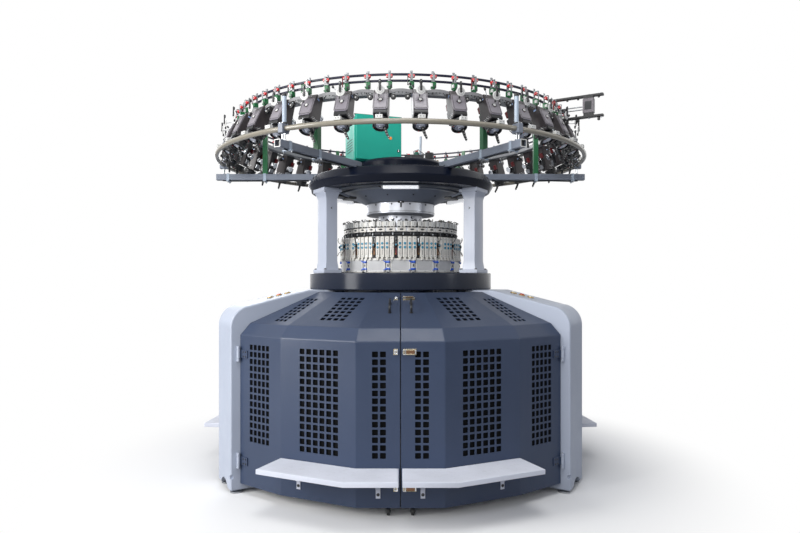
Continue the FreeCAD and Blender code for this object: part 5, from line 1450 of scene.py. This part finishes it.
def arms():
    single("radial_arms", "arm_paint", square_tube(23, 4, 560, 1385.2, 2121), ARM_ANGLES)
    kit = Kit("arm_fittings")
    for put in kit.around(ARM_ANGLES):
        put("white_plastic", square_tube(22.6, 4.6, 1382, 1386, 2121))
        # dark plate just inside the open end: painted shade of the arm's hollow
        put("inside_dark", box(-19, 19, -1370, -1366, 2102, 2140, 0.5))
        # bands of flat steel round the arm, with nuts under it
        for reach in (1296, 1020):
            for x0, x1, z0, z1, ease in ((-25.6, -22.9, 2086, 2146, 0.8), (22.9, 25.6, 2086, 2146, 0.8),
                                         (-25.6, 25.6, 2144, 2147, 0.8), (-34, 34, 2090, 2097.8, 1.5)):
                put("post_paint", box(x0, x1, -reach - 11, -reach + 11, z0, z1, ease))
            for x in (-29, 29):
                put("steel", hexagon(6, 7), move(x, -reach, 2083))
                put("steel", rod(3, 14, 10), move(x, -reach, 2078))
        # foot plate on the crown
        put("arm_paint", box(-40, 40, -654, -566, 2098.4, 2104, 1.5))
        for x in (-33, 33):
            for reach in (580, 640):
                put("bolt", hexagon(7, 7), move(x, -reach, 2104))
        # studs between the arm and the clamp
        for x in (-9, 9):
            put("chrome", rod(5, 42, 14, 0.6), move(x, -TUBE_REACH, 2143.6))
            for z in (2144, 2177):
                put("chrome", hexagon(8.5, 7), move(x, -TUBE_REACH, z))
        # cable under the arm
        path = [(8, -690, 2095), (12, -900, 2092), (-6, -1130, 2094), (4, -1270, 2092), (10, -1340, 2096)]
        put("black_plastic", pipe(path, 4.5, 8))
    kit.make()

    tube = Kit("tube_ring", angle=60)
    gap = math.degrees(17 / TUBE_REACH)
    for angle in ARM_ANGLES:
        turns = [math.radians(angle + gap + (60 - 2 * gap) * k / 60) for k in range(61)]
        path = [(TUBE_REACH * math.sin(t), -TUBE_REACH * math.cos(t), TUBE_LEVEL) for t in turns]
        tube.add("tube_paint", pipe(path, 15, 20))
    tube.make("tube_ring")

    single("outer_posts", "post_paint", rod(13, 160, 24, 1.5), ARM_ANGLES, [move(0, -POST_REACH, 2239)])
    blocks = Kit("clamp_blocks")
    for put in blocks.around(ARM_ANGLES):
        put("arm_paint", box(-17, 17, -1362, -1302, 2185, 2239, 3.5, 2))
        put("inside_dark", box(-17.4, 17.4, -1361, -1303, 2211.2, 2212.8, 0.4))
        put("black_plastic", rod(14.5, 16, 24, 2.5), move(0, -POST_REACH, 2397))
        put("black_plastic", rod(17, 10, 24, 2), move(0, -POST_REACH, 2239))
        for x in (-10, 10):
            for reach in (1311, 1353):
                put("chrome", hexagon(5, 5), move(x, -reach, 2239))
    blocks.make()
    soften("inner_posts", 3, "green_paint")

    carrier = Kit("carrier_ring", angle=40)
    carrier.add("carrier_grey", band(1100, CARRIER, 2405, 2435, 3, 2, 180))
    for angle in FEEDER_ANGLES:
        for n in range(-3, 4):
            carrier.add("inside_dark", placed(rod(3.6, 1.6, 12, 0.5), FORWARD), spin(angle + 0.75 * n),
                        move(0, -CARRIER + 0.6, 2413))
    carrier.make("carrier_ring")
    rails = Kit("sensor_rails", angle=40)
    for z in (2482, 2518):
        rails.add("rail_paint", band(1158, 1170, z - 6, z + 6, 2, 2, 240))
    rails.make("sensor_rails")


def belt_at(angle):
    """Reach and level of the feed belt's inner face."""
    wave = abs(math.sin(math.radians((angle - 5) * 18)))
    return 1206 + 8 * wave, 2399 + 15 * wave ** 1.3


def belt():
    """Toothed feed belt that dips at every feeder and rises between them, with its guide pulleys."""
    kit = Kit("feed_belt")
    points, faces = [], []
    angles = ring(720)
    for k, angle in enumerate(angles):
        reach, middle = belt_at(angle)
        t = math.radians(angle)
        for r, z in ((reach, middle - 9), (reach + 3, middle - 9), (reach + 3, middle + 9), (reach, middle + 9)):
            points.append((r * math.sin(t), -r * math.cos(t), z))
        j = (k + 1) % len(angles)
        faces += [(4 * k + i, 4 * j + i, 4 * j + (i + 1) % 4, 4 * k + (i + 1) % 4) for i in range(4)]
    kit.add("belt_grey", (np.array(points), faces))
    for angle in ring(360, 0.5):
        reach, middle = belt_at(angle)
        kit.add("black_plastic", box(-3.2, 3.2, -reach - 2.4, -reach + 2, middle - 14, middle - 6, 1.0), spin(angle))
    wheel = hoop([(4, -10), (14, -10), (16, -8.5), (14, -7), (14, 7), (16, 8.5), (14, 10), (4, 10)], 0.8, 1, 18)
    for k, angle in enumerate(FEEDER_ANGLES):
        for side in ((-1,), (1,), (-1, 1))[k % 3]:
            put = kit.at(spin(angle + side * 3.1))
            put("black_plastic", wheel, move(0, -1212, 2378), FORWARD)
            put("white_plastic", knob(5, 4, 12), move(0, -1222, 2378), FORWARD)
            put("steel", box(-4, 4, -1208, -1202, 2378, 2406, 1.0))
    kit.make()


def cabinet():
    place = move(-207, 0, 0) @ about("Z", 19)
    single("control_cabinet", "cabinet_green", box(-181, 181, -135, 135, BOSS_TOP, 2558, 5, 3), place=[place])
    trim = Kit("cabinet_fittings")
    put = trim.at(place)
    put("dark_green", box(-181.5, 181.5, -136, 135.5, 2546, 2557.6, 2.5, 2))
    # dark strips on both sides stand for vent slots: painted shade
    for z in (2300, 2320, 2340, 2360, 2380):
        for x in (-182, 180):
            put("inside_dark", box(x, x + 2, -80, 80, z - 3, z + 3, 0.8))
    gland = turned([(0, 0), (13, 0), (13, 14), (9, 20), (0, 20)], 1.5, 2, 16)
    for x in (-120, -40, 40, 120):
        put("black_plastic", gland, move(x, 138, 2250), about("X", -90))
    for x in (-168, 168):
        for y in (-123.2, 123.2):
            put("bolt", hexagon(7, 6), move(x, y, BOSS_TOP))
    trim.make()
    single("cabinet_door", "cabinet_green", box(-173, 173, -154, -136, 2225, 2550, 4, 3), place=[place],
           body="cabinet_door")
    parts = Kit("cabinet_door.parts", "cabinet_door")
    put = parts.at(place)
    lamp = move(88, -153.5, 2390) @ FORWARD
    put("pilot_orange", turned([(0, 0), (10, 0), (10, 3), (7, 5.5), (0, 5.5)], 2, 2, 24), lamp)
    put("chrome", band(10, 13, 0, 3, 1, 1, 24), lamp)
    put("black_plastic", disc(11, 0, 3, 1, 1, 20), move(150, -153.5, 2300), FORWARD)
    put("chrome", box(147.6, 152.4, -159, -154, 2292, 2308, 0.8))
    parts.make()


def oil_unit():
    """Small oil and air unit on the boss of the crown, beside the cabinet."""
    kit = Kit("oil_unit")
    kit.add("inside_dark", box(30, 170, -190, -110, BOSS_TOP, 2256, 4, 2))
    kit.add("black_plastic", box(180, 236, -176, -120, BOSS_TOP, 2276, 5, 2))
    bottle = turned([(0, BOSS_TOP), (20, BOSS_TOP), (20, 2290), (12, 2302), (0, 2302)], 4, 2, 24)
    kit.add("dark_green", bottle, move(120, -60, 0))
    for x, y, z, look in ((60, -150, 2256, "lamp_red"), (120, -60, 2302, "lamp_red"), (205, -148, 2276, "dark_red")):
        kit.add(look, disc(11, 0, 12, 3, 2, 18), move(x, y, z))
    kit.add("post_paint", pipe([(146, -120, 2230), (148, -118, 2330), (150, -112, 2404)], 8, 14))
    kit.add("steel", pipe([(96, -150, 2256), (98, -150, 2288), (130, -148, 2300), (178, -146, 2262)], 4, 10))
    kit.add("black_plastic", pipe([(40, -140, 2250), (10, -90, 2240), (-20, -70, 2236), (-34, -60, 2250)], 6, 12))
    for x in (250, 276):
        kit.add("brass", hexagon(9, 22), move(x, -60, BOSS_TOP))
    kit.make()


def tension_device():
    soften("belt_tensioner", 2.5, "black_plastic")
    kit = Kit("tensioner_fittings")
    put = kit.at(spin(60))
    put("feeder_grey", box(-20, 20, -1432, -1362, 2420, 2514, 4, 2))
    put("inside_dark", box(-21, 21, -1420, -1374, 2440, 2495, 2))
    for reach in (1260, 1330, 1460):
        put("black_plastic", rod(7, 20, 14), move(0, -reach, 2514))
        put("black_plastic", knob(11, 7, 14), move(0, -reach, 2530))
        put("black_plastic", rod(9, 22, 14, 2), move(0, -reach, 2369))
    for reach in (1290, 1400, 1475):
        for z in (2385, 2537):
            put("chrome", hexagon(7, 6), move(0, -reach, z))
    for x, z in ((12, 2470), (-12, 2445)):
        put("steel", pipe([(x, -1200, z), (x, -1370, z)], 4, 12))
    put("black_plastic", hoop([(8, -9), (20, -9), (22, -7), (22, 7), (20, 9), (8, 9)], 1, 1, 24),
        move(0, -1240, 2455))
    kit.make()


# ---------------------------------------------------------------------------------------------
# Yarn feeders and stop motions
# ---------------------------------------------------------------------------------------------

# Foot of a feeder's leaning face, and the direction that the face looks in
FEEDER_FOOT = (0, -1300, 2262)
FEEDER_OUT = (0, -163, 78)


def side_plate(outline, x0, x1, round_, segments):
    """Outline of local (up, out) points drawn across a feeder."""
    points, faces = drawn(outline, x0, x1, round_, segments)
    return np.stack([points[:, 2], points[:, 0], points[:, 1]], axis=1), faces


def face_plate(x, low, high, ease, steps, z0, z1, round_):
    """Plate with rounded corners on the leaning face of a feeder."""
    return drawn(eased([(-x, low), (x, low), (x, high), (-x, high)], ease, steps, True), z0, z1, round_)


def tension_disc(put, place):
    """White disc that faces outwards, with its knob and black stem."""
    put("white_plastic", turned([(0, 0), (24, 0), (26.5, 1.5), (26.5, 4), (20, 6), (0, 6)], 1, 1, 32), place)
    put("feeder_light", band(16, 17.4, 5.4, 6.8, 0.4, 1, 28), place)
    put("black_plastic", knob(7, 8, 16), place, move(0, 0, 6))
    put("black_plastic", box(-6.5, 6.5, -4, 56, 6, 13, 3, 2), place)
    put("inside_dark", box(-9, 9, 34, 52, 2, 8, 3, 2), place)
    put("steel", knob(2.6, 2, 10), place, move(0, 46, 13))
    put("black_plastic", box(-11, -3, -38, -20, -6, 4, 2.5, 2), place)


def feeders():
    house = Kit("yarn_feeders")
    skin = Kit("feeder_parts")
    body = side_plate([(5, -6), (30, -2), (166, -2), (180, -10), (206, -62), (192, -72), (60, -98), (4, -104)],
                      -41, 41, 5, 2)
    plate = face_plate(42, 30, 142, 13, 4, -4, 5, 1.6)
    inner = face_plate(34, 38, 134, 9, 4, 4.5, 6.2, 0.7)
    groove = face_plate(36, 36, 136, 10, 4, 4.4, 5.3, 0.3)
    top = side_plate([(140, -12), (176, -13), (199, -58), (188, -66), (146, -64)], -37, 37, 4, 2)
    chin = side_plate([(1, -8), (4, 2), (22, 4), (31, 0), (31, -30), (2, -40)], -38, 38, 4, 2)
    comma = drawn([(-15, 96), (-7, 101), (-9, 90), (-17, 88)], 5.6, 9, 0.6)
    drum = turned([(0, 0), (22, 0), (24, 4), (21, 8), (21, 26), (24, 30), (22, 34), (0, 34)], 1.2, 1, 20)
    for k, angle in enumerate(FEEDER_ANGLES):
        place = spin(angle) @ leaning(FEEDER_FOOT, FEEDER_OUT)
        house.add("feeder_grey", plate, place)
        house.add("feeder_grey", top, place)
        put = skin.at(place)
        # the body in the darker copy of the feeder grey: painted shade on its sides
        put("feeder_side", body)
        # dark line round the inner plate stands for its groove: painted shade
        put("inside_dark", groove)
        put("feeder_light", inner)
        put("black_plastic", chin)
        # lilac strip along the foot of the face plate: painted highlight on the dark part below
        put("lilac", box(-33, 33, 26, 29, 3.5, 5.6, 1.2))
        # button with its ring and comma
        put("white_plastic", knob(9, 6, 18), move(0, 92, 5.6))
        put("inside_dark", band(9, 12.5, 0, 3.5, 0.8, 1, 18), move(0, 92, 5.6))
        put("dark_red", box(-4, 2, 78, 83, 5.6, 8.6, 1.2))
        put("inside_dark", comma)
        # fins low on both sides
        for x in (-41, 41):
            for n in range(4):
                put("white_plastic" if n % 2 else "steel", box(x - 1.4, x + 1.4, -13, 13, -1.6, 1.6, 0.7),
                    move(0, 22 + 2 * n, -20 - 14 * n), about("X", -40))
            # pale blue patch high on each side: painted reflection, a blue-white highlight
            put("sky", box(x - 1, x + 1, 150, 160, -40, -22, 1))
        put("chrome", pipe([(18, 158, -6), (15, 138, 26), (0, 124, 46)], 2.2, 8))
        tension_disc(put, move(0, 126, 46) @ about("X", 24))
        # lever with a round end
        if k % 2 == 0:
            path = [(-26, 150, -8), (-40, 164, 16), (-52, 172, 30)]
            put("chrome", pipe(path, 2.0, 8))
            put("black_plastic", pipe([path[-1], (-60, 178, 39)], [5.5, 7], 12))
        # white block on the tube ring
        on_ring = skin.at(spin(angle))
        on_ring("white_plastic", box(-20, 20, -1343, -1316, 2226, 2247, 1.8, 2))
        # dark dots that stand for the block's two holes: painted shade
        for x in (-8, 9):
            on_ring("inside_dark", placed(rod(2.4, 1.4, 10, 0.4), FORWARD), move(x, -1342.6, 2237))
        on_ring("chrome", knob(4, 3, 10), move(-12, -1332, 2247))
        on_ring("steel", pipe([(0, -1322, 2240), (0, -1304, 2262)], 4, 10))
        # inner side: storage drum, dark red switch and wires
        put("chrome", drum, move(12, 96, -96), about("X", 180))
        put("dark_red", box(-38, -14, 110, 150, -104, -84, 3, 2))
        put("black_plastic", box(-36, -16, 52, 100, -112, -90, 3, 2))
        put("steel", box(-10, 34, 28, 60, -112, -98, 2, 1))
        put("black_plastic", pipe([(-24, 60, -108), (-30, 30, -118), (-10, 10, -116), (10, 20, -108)], 2.6, 8))
    house.make("yarn_feeders")
    skin.make()


def feeder_wheels():
    hub = leaning(FEEDER_FOOT, FEEDER_OUT) @ Vector((0, 0, -56))
    place = leaning(hub, (0, -FEEDER_OUT[2], FEEDER_OUT[1]))
    rim = hoop([(30, 0), (40, 0), (46, 5), (46, 16), (42, 21), (42, 31), (45.5, 38), (45.5, 43), (43, 46), (39, 46),
                (38, 36), (30, 30)], 2, 2, 28)
    dome = turned([(0, 46), (12, 45), (26, 41), (36, 34), (37, 28), (0, 28)], 3, 2, 28)
    groove = hoop([(27, 39), (29.5, 38), (29.5, 41), (27, 42)], 0.6, 1, 28)
    single("feeder_wheels", "black_plastic", rim, FEEDER_ANGLES, [place])
    parts = Kit("feeder_wheel_parts")
    for k, angle in enumerate(FEEDER_ANGLES):
        put = parts.at(spin(angle), place)
        put("silver", dome)
        # dark ring that stands for a groove round the dome: painted shade
        put("inside_dark", groove)
        put("chrome", disc(7, 44, 47.5, 1.5, 1, 14))
        for n in range(6):
            put("lamp_red" if n in (1, 2, 4) else "inside_dark", box(37, 42.5, -3, 3, 45.0, 46.8, 0.6),
                about("Z", 60 * n + 20 + 25 * (k % 3)))
        # jointed yarn lever that hangs from the wheel
        put = parts.at(spin(angle))
        x = 14 + 10 * (k % 2)
        path = [(x, -1262, 2188), (x + 6, -1262, 2172), (x + 12, -1260, 2157), (x + 19, -1258, 2144)]
        for n, (px, py, pz) in enumerate(path):
            put("black_plastic", box(-9.0 + n, 9.0 - n, -6, 6, -10, 10, 3, 2), move(px, py, pz), about("Y", -20))
            put("white_plastic", knob(2.6, 2.5, 10), move(px, py - 5.6, pz), FORWARD)
        put("steel", pipe([path[-1], (x + 23, -1258, 2130)], 2.4, 8))
    parts.make()


def stop_motions():
    angles = ring(60, 3)
    bodies = Kit("stop_motion_bodies")
    lamps = Kit("stop_motion_lamps")
    parts = Kit("stop_motion_parts")
    lens = turned([(0, -9), (8, -9), (11, -3), (11, 4), (7.5, 9), (0, 9)], 2.5, 2, 14)
    for k, angle in enumerate(angles):
        turn = spin(angle)
        put = parts.at(turn)
        bodies.add("green_plastic", box(-15.5, 15.5, -1201, -1170.4, 2436, 2470, 3.5, 2), turn)
        bodies.add("green_plastic", box(-9, 9, -1198, -1174, 2428.5, 2440, 2.5, 1), turn)
        put("white_plastic", box(-15.9, -5, -1203, -1186, 2441, 2462, 2, 1))
        put("inside_dark", box(4, 14, -1202.6, -1196, 2436, 2450, 1.5))
        put("black_plastic", pipe([(0, -1190, 2430), (4, -1196, 2418), (-2, -1200, 2408), (-6, -1198, 2400)],
                                  [3, 2.4, 2.2, 3.2], 8))
        put("steel", box(-7.0, 7.0, -1187, -1177, 2507, 2520, 1.5))
        put("steel", knob(3.6, 3, 10), move(0, -1178, 2528), FORWARD)
        for side in (-1, 1):
            lamps.add("lamp_red", lens, turn, move(side * 10, -1193, 2500), SIDEWAYS)
            # white dot beside the foot of each lens: painted glint, a highlight on the lens
            put("white_plastic", knob(3.0, 1.6, 10), move(side * 11 - 1, -1203.0, 2495), FORWARD)
        put("bracket_metal", box(-6.2, 6.2, -1206.5, -1204, 2468, 2519, 1.2))
        put("bracket_metal", box(-6.2, 6.2, -1206.5, -1178, 2516.5, 2519, 1.0))
        for z in (2476, 2512):
            put("inside_dark", placed(rod(2.6, 1.2, 10, 0.4), FORWARD), move(0, -1206.2, z))
        if k % 3 == 0:
            look = "dark_red" if k % 2 else "black_plastic"
            put(look, box(-24, -19, -1200, -1190, 2450, 2512, 1.8))
            put(look, box(-24, -12, -1196, -1190, 2448, 2456, 1.5))
    bodies.make("stop_motion_bodies")
    single("stop_motion_brackets", "bracket_metal", box(-7.5, 7.5, -1178, -1170.2, 2470.4, 2536.6, 2.0, 2), angles)
    lamps.make("stop_motion_lamps")
    parts.make()


def inside():
    """Take-down, drive and dial parts, which hardly show."""
    for node, width, look in (("ring_gear", 2, "steel"), ("takedown_frame", 2, "dark_paint"),
                              ("drive_motor", 3, "dark_paint"), ("drive_shaft", 1.5, "steel"),
                              ("dial", 1.5, "steel"), ("dial_shaft", 1.5, "steel"),
                              ("nip_roller_front", 1.5, "roller_rubber"),
                              ("nip_roller_rear", 1.5, "roller_rubber"), ("cloth_beam", 1.5, "steel")):
        soften(node, width, look)
    fittings = Kit("motor_fittings")
    centre = spin(150) @ Vector((0, -586, 0))
    put = fittings.at(move(centre.x, centre.y, 0))
    for z in (720, 760, 860, 900, 940, 980, 1020):
        put("dark_paint", band(88, 96, z - 4, z + 4, 1.5, 1, 40))
    put("steel", box(-30, 30, -24, 24, 880, 960, 4, 2), move(100, 0, 0))
    fittings.make()


arms()
belt()
cabinet()
oil_unit()
tension_device()
feeders()
feeder_wheels()
stop_motions()
inside()
